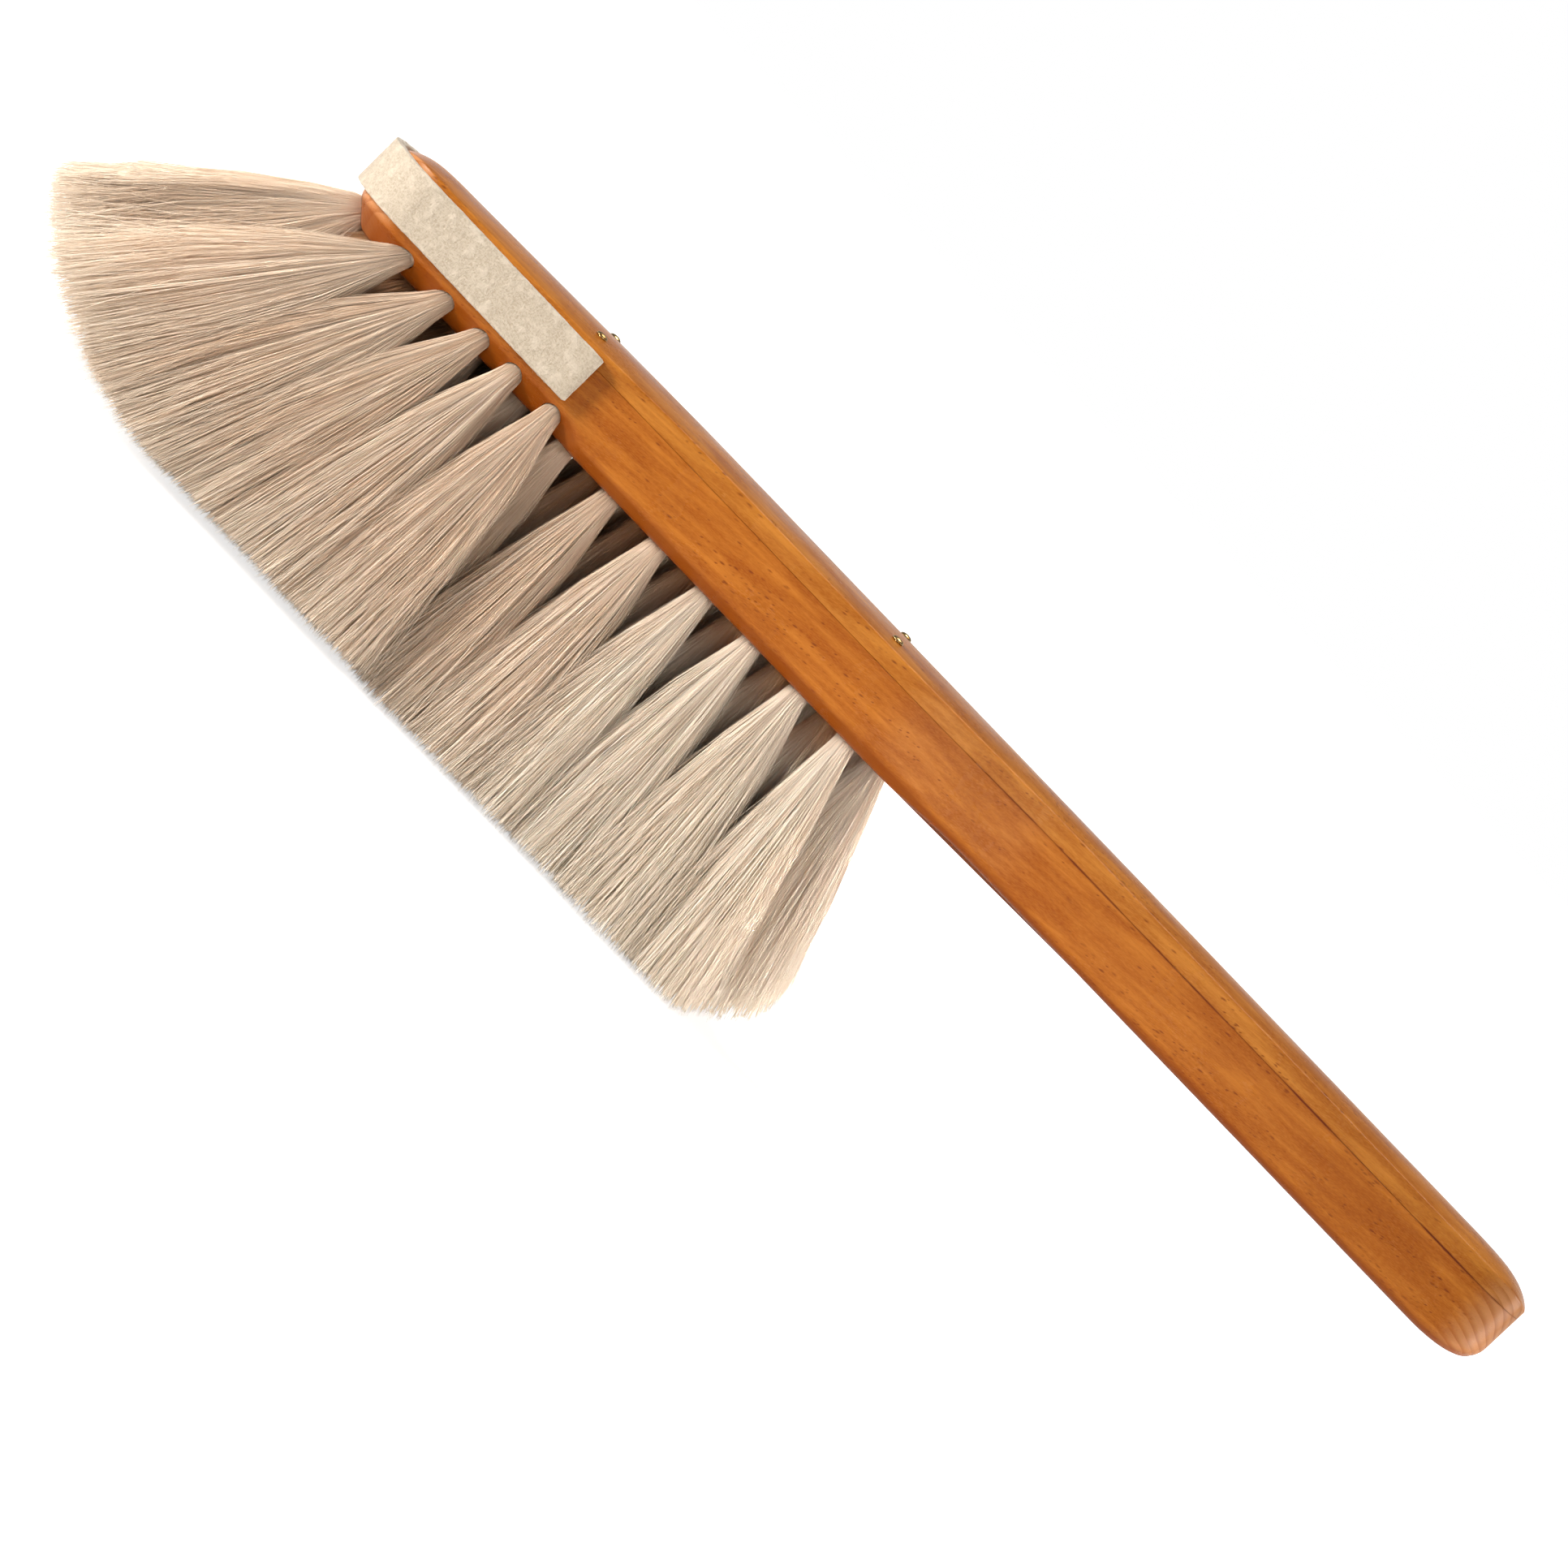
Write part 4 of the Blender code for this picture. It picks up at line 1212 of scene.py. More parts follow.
    def outer_edges(self, tuft: TuftHole) -> tuple[float, float]:
        """Distances aside that an outer row's tips lie between."""
        beside_bevel = tuft.mouth.x < STOCK.bevel_end + self.pitch / 2
        return self.centre_band, self.front_band if beside_bevel else self.outer_band

    def wire_hole_length(self, tuft: TuftHole) -> float:
        """Distance along a hole from its mouth to the floor of the wires' recess."""
        return (STOCK.seam - STOCK.recess_depth - tuft.mouth.z) / -tuft.axis.z


@dataclass
class Boards:
    """The two beech boards: the drilled lower one and the crowned cover."""

    plan: TuftPlan
    arc_steps: int = 22
    spacing: float = 4 * MM
    tail_steps: int = 16
    joint: float = 0.05 * MM
    edge_round: float = 1.1 * MM
    joint_edge_weight: float = 0.07
    level_slope: float = 0.6
    smooth_angle: float = 34.0
    wire_hole_radius: float = 1.1 * MM
    drill_sides: int = 24
    recess_height: float = 3 * MM
    pin_stations: tuple[float, float] = (64.8 * MM, 158 * MM)
    pin_offset: float = 12 * MM
    pin_radius: float = 0.75 * MM
    pin_length: float = 12 * MM
    pin_clearance: float = 0.12 * MM
    pin_drill_ends: tuple[float, float] = (-12.3 * MM, 2 * MM)
    pin_drill_sides: int = 20
    foot_rings: Outline = ((0.997, 0.0), (0.9992, 0.03 * MM), (1.0, 0.08 * MM))
    shoulder_rings: Outline = ((1.0, 0.55 * MM), (0.9985, 0.30 * MM), (0.993, 0.12 * MM), (0.982, 0.03 * MM))
    crown_shares: tuple[float, ...] = (0.93, 0.82, 0.66, 0.48, 0.28, 0.12, 0.0)
    least_side: float = 0.1 * MM

    def outline(self) -> list[Vector]:
        """Plan outline of both boards."""
        return STOCK.outline(self.arc_steps, self.spacing, self.tail_steps)

    def build_lower(self) -> bpy.types.Object:
        """Model the head and handle below the joint, with its chamfer, tuft holes and wire recess.

        Returns:
            The board.
        """
        outline = self.outline()
        normals = inward(outline)
        top = (STOCK.seam + STOCK.cover_bottom - self.joint) / 2
        foot, knee, rim = [], [], []
        for point, normal in zip(outline, normals):
            width, height = STOCK.chamfer(point.x)
            inner = point + normal * width
            foot.append(to_model(inner.x, inner.y, STOCK.underside(inner.x)))
            knee.append(to_model(point.x, point.y, STOCK.underside(point.x) + height))
            rim.append(to_model(point.x, point.y, top))
        board = Modeller.loft("beech_lower_board", [foot, knee, rim])

        def weight(one: Vector, two: Vector) -> float:
            """Round the chamfer's edges fully, the joint's a little and the upright ones not at all.

            Args:
                one: First end of an edge.
                two: Its other end.

            Returns:
                The edge's bevel weight.
            """
            if abs(one.z - two.z) >= self.level_slope * (one.xy - two.xy).length:
                return 0.0
            return self.joint_edge_weight if abs(one.z - top) < self.joint / 10 else 1.0

        Modeller.weigh_edges(board, weight)
        Modeller.apply(board, "BEVEL", width=self.edge_round, segments=4, limit_method="WEIGHT",
                       use_clamp_overlap=False)
        Modeller.drill(board, self.tuft_drills() + self.pin_drills() + [self.recess(outline, normals)])
        Modeller.smooth(board, self.smooth_angle)
        return board

    def tuft_drills(self) -> list[bpy.types.Object]:
        """Model the solids that drill the stepped tuft holes.

        Returns:
            The solids.
        """
        wide, deep = self.plan.plug_radius + self.plan.clearance, self.plan.hole_depth
        drills = []
        for tuft in self.plan.tufts:
            length = self.plan.wire_hole_length(tuft) + STOCK.recess_depth / 2
            profile = [(wide, -STOCK.bevel_width), (wide, deep), (self.wire_hole_radius, deep),
                       (self.wire_hole_radius, length)]
            drills.append(Modeller.turned("drill", profile, self.drill_sides, to_model(*tuft.mouth),
                                          -tuft.axis))
        return drills

    def pin_drills(self) -> list[bpy.types.Object]:
        """Solids that drill the pins' holes through a board.

        Returns:
            One solid for each pin.
        """
        profile = [(self.pin_radius + self.pin_clearance, end) for end in self.pin_drill_ends]
        return [Modeller.turned("drill", profile, self.pin_drill_sides, seat, UP)
                for seat in self.pin_seats().values()]

    def pin_seats(self) -> dict[str, Vector]:
        """Where each pin's head meets the crowned back.

        Returns:
            The place for the name of each pin's CAD node.
        """
        seats = {}
        for end, station in zip(("front", "rear"), self.pin_stations):
            height = STOCK.cover_back(station, self.pin_offset / STOCK.half_width(station))
            for side in (Side.LEFT, Side.RIGHT):
                seats[f"pin_{end}_{side.label}"] = to_model(station, side.value * self.pin_offset, height)
        return seats

    def recess(self, outline: Sequence[Vector], normals: Sequence[Vector]) -> bpy.types.Object:
        """Model the solid that cuts the shallow pocket for the drawing wires.

        Args:
            outline: The board's plan.
            normals: The plan's inward normals.

        Returns:
            The solid.
        """
        floor = STOCK.seam - STOCK.recess_depth
        inner = [point + normal * STOCK.recess_rim for point, normal in zip(outline, normals)]
        rim = [place for place in inner if place.x <= STOCK.recess_end]
        return Modeller.loft("recess", [[to_model(place.x, place.y, height) for place in rim]
                                        for height in (floor, floor + self.recess_height)])

    def build_cover(self) -> bpy.types.Object:
        """Model the crowned board by drawing its side up and then in to the middle line.

        Returns:
            The board.
        """
        outline = self.outline()
        bottom = (STOCK.seam + STOCK.cover_bottom + self.joint) / 2
        rings = [[to_model(point.x, point.y * share, bottom + rise) for point in outline]
                 for share, rise in self.foot_rings]
        for share, drop in self.shoulder_rings + tuple((share, 0.0) for share in self.crown_shares):
            rings.append([to_model(point.x, point.y * share,
                                   max(STOCK.cover_back(point.x, share) - drop, bottom + self.least_side))
                          for point in outline])
        board = Modeller.loft("beech_cover_board", rings, close=False)
        Modeller.drill(board, self.pin_drills())
        Modeller.smooth(board, self.smooth_angle)
        return board

    def build(self, lower_finish: BeechFinish, cover_finish: BeechFinish) -> None:
        """Build and dress both boards.

        Args:
            lower_finish: Finish of the lower board.
            cover_finish: Finish of the cover.
        """
        Modeller.finish(self.build_lower(), lower_finish.build(), "lower_board", ["lower_board"])
        Modeller.finish(self.build_cover(), cover_finish.build(), "cover_board", ["cover_board"])


@dataclass
class Pins:
    """Four small brass pins with domed heads."""

    boards: Boards
    head_radius: float = 1.55 * MM
    head_height: float = 0.85 * MM
    head_rim: float = 0.12 * MM
    head_steps: int = 6
    top_share: float = 6 / 6.4
    under_head: float = 0.06 * MM
    neck: float = 0.1 * MM
    point_length: float = 1.5 * MM
    point_radius: float = 0.05 * MM
    sides: int = 28
    smooth_angle: float = 40.0

    def profile(self) -> list[tuple[float, float]]:
        """Rings of a pin, from its point to the top of its dome.

        Returns:
            Radius and height of each ring.
        """
        shank, length = self.boards.pin_radius, self.boards.pin_length
        rings = [(self.point_radius, -length), (shank, self.point_length - length), (shank, -self.neck),
                 (shank, self.under_head), (self.head_radius * 0.97, self.under_head),
                 (self.head_radius, self.head_rim)]
        for step in range(1, self.head_steps + 1):
            turn = math.pi / 2 * self.top_share * step / self.head_steps
            rings.append((self.head_radius * math.cos(turn),
                          self.head_rim + (self.head_height - self.head_rim) * math.sin(turn)))
        return rings

    def build(self, finish: MetalFinish) -> None:
        """Build and dress the pins.

        Args:
            finish: Finish of the pins.
        """
        material = finish.build()
        for node, seat in self.boards.pin_seats().items():
            pin = Modeller.turned(f"brass_{node}", self.profile(), self.sides, seat, UP)
            Modeller.smooth(pin, self.smooth_angle)
            Modeller.finish(pin, material, "brass", [node])


@dataclass
class FeltBand:
    """The thick felt band that is glued round the nose."""

    thickness: float = 3.0 * MM
    height: float = 12.5 * MM
    bottom: float = 74.9 * MM
    end: float = 70 * MM
    end_round: float = 0.25 * MM
    glue: float = 0.05 * MM
    corner: float = 0.35 * MM
    corner_steps: int = 3
    long_steps: int = 11
    short_steps: int = 3
    arc_steps: int = 40
    ring_spacing: float = 1.1 * MM
    lump_size: float = 2.2 * MM
    lump_height: float = 0.22 * MM
    lump_middle: float = 0.62
    smooth_angle: float = math.radians(50)
    fibre_count: int = 2600
    rim_share: float = 0.45
    rim_inset: float = 0.1 * MM
    face_inset: float = 0.4 * MM
    fibre_sink: float = 0.05 * MM
    fibre_lengths: tuple[float, float] = (0.6 * MM, 1.7 * MM)
    fibre_lifts: tuple[float, float] = (0.03 * MM, 0.22 * MM)
    fibre_arch: tuple[float, float, float] = (-0.3, 1.0, 0.2)
    fibre_radii: tuple[float, float, float] = (0.018 * MM, 0.02 * MM, 0.006 * MM)
    seed: int = 7

    def path(self) -> list[tuple[Vector, Vector]]:
        """Points along the wood's side from the right end round the nose to the left end.

        Returns:
            Each point of the band's inner face in stations, with the outward normal.
        """
        outline = STOCK.outline(self.arc_steps, self.ring_spacing, 8)
        right = [(point, -normal) for point, normal in zip(outline, inward(outline))
                 if point.x < self.end and point.y >= 0]
        right.append((Vector((self.end, STOCK.half_width(self.end))), right[-1][1].copy()))
        left = [(Vector((point.x, -point.y)), Vector((normal.x, -normal.y))) for point, normal in right[1:]]
        return right[::-1] + left

    def section(self) -> list[tuple[float, float]]:
        """Rounded rectangle of the band's cross-section.

        Returns:
            Distance out from the wood and height of each point.
        """
        deep, high, corner = self.thickness, self.height, self.corner
        middles = [(deep - corner, high - corner), (corner, high - corner), (corner, corner),
                   (deep - corner, corner)]

        def rounded(quarter: int, step: int) -> tuple[float, float]:
            """Point on the arc of a corner.

            Args:
                quarter: Which corner, counted from the outer upper one.
                step: Step along its arc.

            Returns:
                Distance out from the wood, and height.
            """
            out, up = middles[quarter % 4]
            turn = math.pi / 2 * (quarter + step / self.corner_steps)
            return out + corner * math.cos(turn), up + corner * math.sin(turn)

        points = []
        for quarter in range(4):
            points += [rounded(quarter, step) for step in range(self.corner_steps + 1)]
            start, end = Vector(points[-1]), Vector(rounded(quarter + 1, 0))
            steps = self.long_steps if quarter % 2 else self.short_steps
            points += [tuple(start.lerp(end, step / steps)) for step in range(1, steps)]
        return points

    def build(self, finish: FeltFinish) -> None:
        """Build and dress the band.

        Args:
            finish: Finish of the felt.
        """
        path, section = self.path(), self.section()
        rings = []
        for index, (point, normal) in enumerate(path):
            inset = self.end_round if index in (0, len(path) - 1) else 0.0
            ring = []
            for out, up in section:
                place = point + normal * (self.glue + min(max(out, inset), self.thickness - inset))
                level = min(max(up, inset), self.height - inset)
                ring.append(to_model(place.x, place.y, self.bottom + level))
            rings.append(ring)
        band = Modeller.loft("felt_band", rings)
        texture = bpy.data.textures.new("felt_unevenness", "CLOUDS")
        texture.noise_scale = self.lump_size
        texture.noise_depth = 2
        Modeller.apply(band, "DISPLACE", texture=texture, strength=self.lump_height,
                       mid_level=self.lump_middle, texture_coords="LOCAL")
        bpy.data.textures.remove(texture)
        Modeller.activate(band)
        bpy.ops.object.shade_smooth_by_angle(angle=self.smooth_angle)
        Modeller.join([band, self.fibres(path)])
        Modeller.finish(band, finish.build(), "felt", ["felt_strip"])

    def fibres(self, path: Sequence[tuple[Vector, Vector]]) -> bpy.types.Object:
        """Make the short loose fibres on the band's faces and edges.

        Args:
            path: The band's path with its outward normals.

        Returns:
            The fibres.
        """
        rng, count = np.random.default_rng(self.seed), self.fibre_count
        where = rng.integers(1, len(path) - 1, count)
        base = np.array([to_model(path[i][0].x, path[i][0].y, 0.0) for i in where])
        out = np.array([(path[i][1].x, path[i][1].y, 0.0) for i in where])
        along = np.stack([-out[:, 1], out[:, 0], np.zeros(count)], 1)
        up = np.tile([0.0, 0.0, 1.0], (count, 1))
        rim = rng.random(count) < self.rim_share
        high = np.where(rng.random(count) < 0.5, self.height - self.rim_inset, self.rim_inset)
        level = np.where(rim, high, rng.uniform(self.face_inset, self.height - self.face_inset, count))
        depth = np.where(rim, rng.uniform(0.3 * MM, self.thickness, count), self.thickness - self.fibre_sink)
        root = base + out * depth[:, None] + up * (self.bottom + level)[:, None]
        lift = np.where(rim[:, None], up * np.sign(level - self.height / 2)[:, None], out)
        across = np.where(rim[:, None], out, up)
        flat = unit_turns(rng, count)
        flat = along * flat[:, :1] + across * flat[:, 1:]
        length = rng.uniform(*self.fibre_lengths, count)[:, None]
        rise = rng.uniform(*self.fibre_lifts, count)[:, None]
        paths = (root[:, None] + flat[:, None] * (length * np.array([0.0, 0.5, 1.0]))[..., None]
                 + lift[:, None] * (rise * np.array(self.fibre_arch))[..., None])
        return Strands.mesh("felt_fibres", paths, np.tile(self.fibre_radii, (count, 1)), rng)


def unit_turns(rng: np.random.Generator, count: int) -> np.ndarray:
    """Random unit vectors in a plane, one drawn angle for each row."""
    turn = rng.uniform(0, 2 * math.pi, count)
    return np.stack([np.cos(turn), np.sin(turn)], 1)


class Strands:
    """Meshes of many fine strands, each a three-sided tube."""

    @staticmethod
    def frames(paths: np.ndarray, rng: np.random.Generator) -> tuple[np.ndarray, np.ndarray]:
        """Two directions across each strand at each of its points.

        Args:
            paths: Points of each strand, as strands by points by 3.
            rng: Random source that turns each strand's section.

        Returns:
            Two arrays of unit vectors.
        """
        run = np.gradient(paths, axis=1)
        run /= np.linalg.norm(run, axis=2, keepdims=True) + 1e-12
        one = np.cross(run, rng.normal(size=(len(paths), 1, 3)))
        one /= np.linalg.norm(one, axis=2, keepdims=True) + 1e-12
        return one, np.cross(run, one)

    @staticmethod
    def faces(count: int, levels: int) -> tuple[np.ndarray, np.ndarray]:
        """Corners of the faces of strands that have three points on each level and one at the tip.

        Args:
            count: Number of strands.
            levels: Levels of each strand, its tip included.

        Returns:
            The four-sided faces, and the three-sided ones at the ends.
        """
        start = (np.arange(count) * (3 * levels - 2))[:, None, None]
        corner = np.arange(3)[None, None, :]
        following = (corner + 1) % 3
        low = start + (np.arange(levels - 2) * 3)[None, :, None]
        sides = np.stack([low + corner, low + following, low + 3 + following, low + 3 + corner], 3)
        rim, point = start + (levels - 2) * 3, np.repeat(start + (levels - 1) * 3, 3, axis=2)
        first = (start + np.array([2, 1, 0])[None, None, :]).reshape(-1, 3)
        last = np.stack([rim + corner, rim + following, point], 3).reshape(-1, 3)
        return sides.reshape(-1, 4), np.concatenate([first, last])

    @staticmethod
    def mesh(name: str, paths: np.ndarray, radii: np.ndarray, rng: np.random.Generator,
             marks: dict[str, np.ndarray] | None = None) -> bpy.types.Object:
        """Make an object of strands that end in a point.

        Args:
            name: Name of the object.
            paths: Points of each strand, as strands by points by 3.
            radii: Radius at each point.
            rng: Random source.
            marks: Values for each point of each strand, kept as attributes.

        Returns:
            The object.
        """
        count, levels = paths.shape[:2]
        one, two = Strands.frames(paths, rng)
        turns = 2 * math.pi * np.arange(3) / 3
        ring = (one[:, :, None] * np.cos(turns)[None, None, :, None]
                + two[:, :, None] * np.sin(turns)[None, None, :, None])
        tubes = (paths[:, :, None] + ring * radii[:, :, None, None])[:, :-1].reshape(count, -1, 3)
        verts = np.concatenate([tubes, paths[:, -1:]], 1)
        sides, ends = Strands.faces(count, levels)
        totals = np.concatenate([np.full(len(sides), 4), np.full(len(ends), 3)])
        starts = np.concatenate([[0], np.cumsum(totals)[:-1]])
        mesh = bpy.data.meshes.new(name)
        mesh.vertices.add(verts.size // 3)
        mesh.vertices.foreach_set("co", verts.astype(np.float32).ravel())
        mesh.loops.add(sides.size + ends.size)
        mesh.loops.foreach_set("vertex_index", np.concatenate([sides.ravel(), ends.ravel()]).astype(np.int32))
        mesh.polygons.add(len(totals))
        mesh.polygons.foreach_set("loop_start", starts.astype(np.int32))
        mesh.update(calc_edges=True)
        mesh.validate()
        mesh.polygons.foreach_set("use_smooth", np.ones(len(totals), dtype=bool))
        for label, values in (marks or {}).items():
            Modeller.mark(mesh, label, "POINT",
                          np.concatenate([np.repeat(values[:, :-1], 3, axis=1), values[:, -1:]], 1))
        piece = bpy.data.objects.new(name, mesh)
        bpy.context.scene.collection.objects.link(piece)
        return piece


@dataclass(frozen=True)
class Scatter:
    """How unevenly the strands of a tuft lie: spreads of the random draws, and shares of the strands."""

    shell_share: float = 0.66
    shell_inner: float = 0.8
    root: float = 0.03
    lock_bias: float = 0.42
    lock_pull: float = 0.045
    nose_lock_share: float = 0.4
    least_pull: float = 0.2
    loose_share: float = 0.25
    loose_drift: float = 0.36
    drift: float = 0.15
    place: float = 0.035
    tuft_place: float = 0.08
    tuft_width: float = 0.05
    flare: float = 0.10
    tuft_flare: float = 0.04
    wave: float = 0.62 * MM
    wave_ways: Point = (1.0, 1.0, 0.2)
    wave_beats: tuple[float, float] = (1.5, 5.0)
    cut: float = 0.014
    lock_cut: float = 0.004
    short_share: float = 0.08
    short_cut: float = 0.2
    cut_limits: tuple[float, float] = (-0.01, 0.25)
    thickness: float = 0.3
    lock_tone: float = 0.12
    tone: float = 0.2
    nose_tone: float = 0.12
    core_turn: float = 0.3
    core_swell: float = 0.035
    core_tone: float = 0.2


@dataclass(frozen=True)
class Stray:
    """The few loose strands that curl across the gaps beside a tuft."""

    count: int = 12
    points: int = 14
    radius: float = 0.048 * MM
    root: float = 0.9
    spread: tuple[float, float] = (0.3, 1.2)
    reach: tuple[float, float] = (0.55, 0.95)
    curl: tuple[float, float] = (0.8 * MM, 3.2 * MM)
    curl_growth: float = 0.8
    beats: tuple[float, float] = (2.5, 8.0)
    phase: float = 0.6
    ways: Point = (1.0, 0.6, 0.25)
    tone: float = 0.95
    # Least share of the length on a stray strand, which keeps the painted root shade off it.
    root_shade_end: float = 0.35
    last_station: float = 160 * MM


@dataclass
class HairTufts:
    """The hair: each tuft many fine strands round a dense core."""

    plan: TuftPlan
    scatter: Scatter = Scatter()
    loose: Stray = Stray()
    lock_count: int = 130
    levels: tuple[float, ...] = (-0.03, 0.05, 0.26, 0.58, 0.965, 1.0)
    widths: tuple[float, float, float] = (0.8, 0.95, 0.9)
    core_levels: tuple[float, ...] = (0.0, 0.07, 0.18, 0.32, 0.46, 0.58, 0.68, 0.75, 0.80)
    core_taper: tuple[float, ...] = (1.0, 1.0, 1.0, 1.0, 0.97, 0.9, 0.76, 0.5, 0.04)
    core_sides: int = 84
    core_fill: float = 0.80
    core_root: float = 0.93
    # Mean tone of the core, darker than the strands': painted shade of the tuft's inside.
    core_tone: float = 0.42
    root_gap: float = 0.5 * MM
    flare_power: float = 2.0
    hidden_flare_power: float = 2.5
    heel_flare_power: float = 1.1
    fan_flare_powers: tuple[float, float, float] = (1.1, 1.6, 2.4)
    fan_width: float = 1.3
    fill: float = 1.2
    rim_fill: float = 0.97
    corner_share: float = 0.7
    nose_swell: float = 0.5
    swell_level: float = 0.05
    crowded_end: float = 20 * MM
    heel_start: float = 170 * MM
    fray_power: float = 2.2
    root_radius: float = 2.3 * MM
    inner_root_radius: float = 2.7 * MM
    strand_radius: float = 0.074 * MM
    seed: int = 31
    strand_counts: dict[Row, int] = field(default_factory=lambda: {
        Row.NOSE: 4600, Row.BEVEL: 1600, Row.OUTER: 1600, Row.CENTRE: 950})
    nose_rim: Outline = (
        (-36.8 * MM, 41.0 * MM), (-40.5 * MM, 35.9 * MM), (-44.9 * MM, 32.2 * MM), (-49.0 * MM, 28.8 * MM),
        (-48.6 * MM, 25.3 * MM), (-45.0 * MM, 20.9 * MM), (-39.0 * MM, 16.4 * MM), (-30.0 * MM, 11.6 * MM),
        (-20.0 * MM, 7.6 * MM), (-13.0 * MM, 5.2 * MM))
    heel_rim: Outline = (
        (174.0 * MM, 0.1 * MM), (184.0 * MM, 0.1 * MM), (190.7 * MM, 0.9 * MM), (194.7 * MM, 3.4 * MM),
        (196.9 * MM, 8.5 * MM), (197.2 * MM, 13.0 * MM), (196.4 * MM, 18.5 * MM))
    rim_bow: float = 2.5 * MM
    # Painted light and shade: steps by station that make the hair darker from the nose towards the middle and
    # much lighter at the rear.
    painted_light_steps: tuple[tuple[float, float, float, float], ...] = (
        (4 * MM, 36 * MM, -0.02, -0.2), (64 * MM, 80 * MM, 0.0, -0.1), (96 * MM, 128 * MM, 0.0, 0.62))
    # Painted shade at the roots: in the middle row, up to 165 mm, it climbs far up the strands, furthest
    # towards the front; on the other tufts it stays faint and low.
    deep_root_shade: tuple[float, float, float, float] = (60 * MM, 140 * MM, 0.42, 1.0)
    deep_root_shade_end: float = 165 * MM
    shallow_root_shade: float = 0.22

    def rim(self, tuft: TuftHole) -> Outline:
        """Rounded outline that the tips of the first and the last tuft end on.

        Args:
            tuft: The tuft.

        Returns:
            The outline, empty for the other tufts.
        """
        if tuft.row is Row.NOSE:
            return self.nose_rim
        return self.heel_rim if tuft.row is Row.CENTRE and tuft.mouth.x > self.heel_start else ()

    @staticmethod
    def rim_places(outline: Outline, along: np.ndarray) -> tuple[np.ndarray, np.ndarray]:
        """Stations and heights on a rounded outline.

        Args:
            outline: Stations and heights of its points.
            along: From -1 at its first point to 1 at its last.

        Returns:
            Stations and heights.
        """
        rim = np.array(outline)
        run = np.concatenate([[0.0], np.cumsum(np.linalg.norm(np.diff(rim, axis=0), axis=1))])
        place = (np.clip(along, -1, 1) + 1) / 2 * run[-1]
        return np.interp(place, run, rim[:, 0]), np.interp(place, run, rim[:, 1])

    def tips(self, tuft: TuftHole, square: np.ndarray) -> np.ndarray:
        """Places on the trimmed surface.

        Args:
            tuft: The tuft.
            square: Places in its cell, from -1 at the front to 1 at the back and from -1 to 1 across.

        Returns:
            Points in stations.
        """
        front, back, inner, outer = tuft.cell
        along = square[:, 0]
        across = (inner + outer) / 2 * (tuft.side.value or 1) + square[:, 1] * (outer - inner) / 2
        outline = self.rim(tuft)
        if outline:
            station, height = self.rim_places(outline, along)
            bow = (across / outer) ** 2 * self.rim_bow
            return np.stack([station + (bow if tuft.on_bevel else -bow), across, height], 1)
        station = (front + back) / 2 + along * (back - front) / 2
        rise = self.plan.bevel_tip_rise if tuft.on_bevel else 0.0
        return np.stack([station, across, np.array([self.plan.trim(value) for value in station]) + rise], 1)

    def paths(self, tuft: TuftHole, disc: np.ndarray, square: np.ndarray, levels: np.ndarray,
              power: np.ndarray, drift: np.ndarray | None = None) -> np.ndarray:
        """Paths that leave the hole close together and flare to the trimmed surface.

        Args:
            tuft: The tuft.
            disc: Places in the hole, from -1 to 1.
            square: Places in the cell of the tips, from -1 to 1.
            levels: Shares of the way down at which points are wanted.
            power: How early each strand flares.
            drift: How far each tip strays from its place in the cell, as shares of the cell.

        Returns:
            Points in stations, as strands by levels by 3.
        """
        along, aside = (np.array((way - way.project(tuft.axis)).normalized())
                        for way in (Vector((1, 0, 0)), Vector((0, 1, 0))))
        mouth, level = np.array(tuft.mouth), levels[:, None]
        radius = self.inner_root_radius if tuft.row is Row.CENTRE else self.root_radius
        start = (disc[:, :1] * along + disc[:, 1:] * aside) * radius
        crowded = tuft.side is Side.MIDDLE and tuft.mouth.x < self.crowded_end
        swell = 1 + (self.nose_swell if crowded else 0.0) * np.clip(level / self.swell_level, 0, 1)
        middle = self.tips(tuft, np.zeros((1, 2)))[0]
        spread = self.tips(tuft, square) - middle
        share = (1 - (1 - np.clip(levels, 0.0, 1.0)[None]) ** power[:, None])[..., None]
        inside = mouth + np.array(tuft.axis) * np.linalg.norm(middle - mouth) * level
        centre = np.where(level < 0, inside, mouth + (middle - mouth) * level)
        points = centre[None] + start[:, None] * (1 - share) * swell + spread[:, None] * share
        if drift is not None:
            moved = self.tips(tuft, square + drift) - middle - spread
            points += moved[:, None] * (np.clip(level, 0.0, 1.0)[None] ** self.fray_power)
        return points

    def to_square(self, disc: np.ndarray) -> np.ndarray:
        """Move points of the unit disc out towards the corners of the square.

        Args:
            disc: The points.

        Returns:
            The moved points.
        """
        u, v = disc[:, 0] * 0.999, disc[:, 1] * 0.999
        bend, root = u * u - v * v, 2 * math.sqrt(2)
        x, y = ((np.sqrt(np.maximum(2 + way + root * part, 0))
                 - np.sqrt(np.maximum(2 + way - root * part, 0))) / 2
                for way, part in ((bend, u), (-bend, v)))
        return (1 - self.corner_share) * disc + self.corner_share * np.stack([x, y], 1)

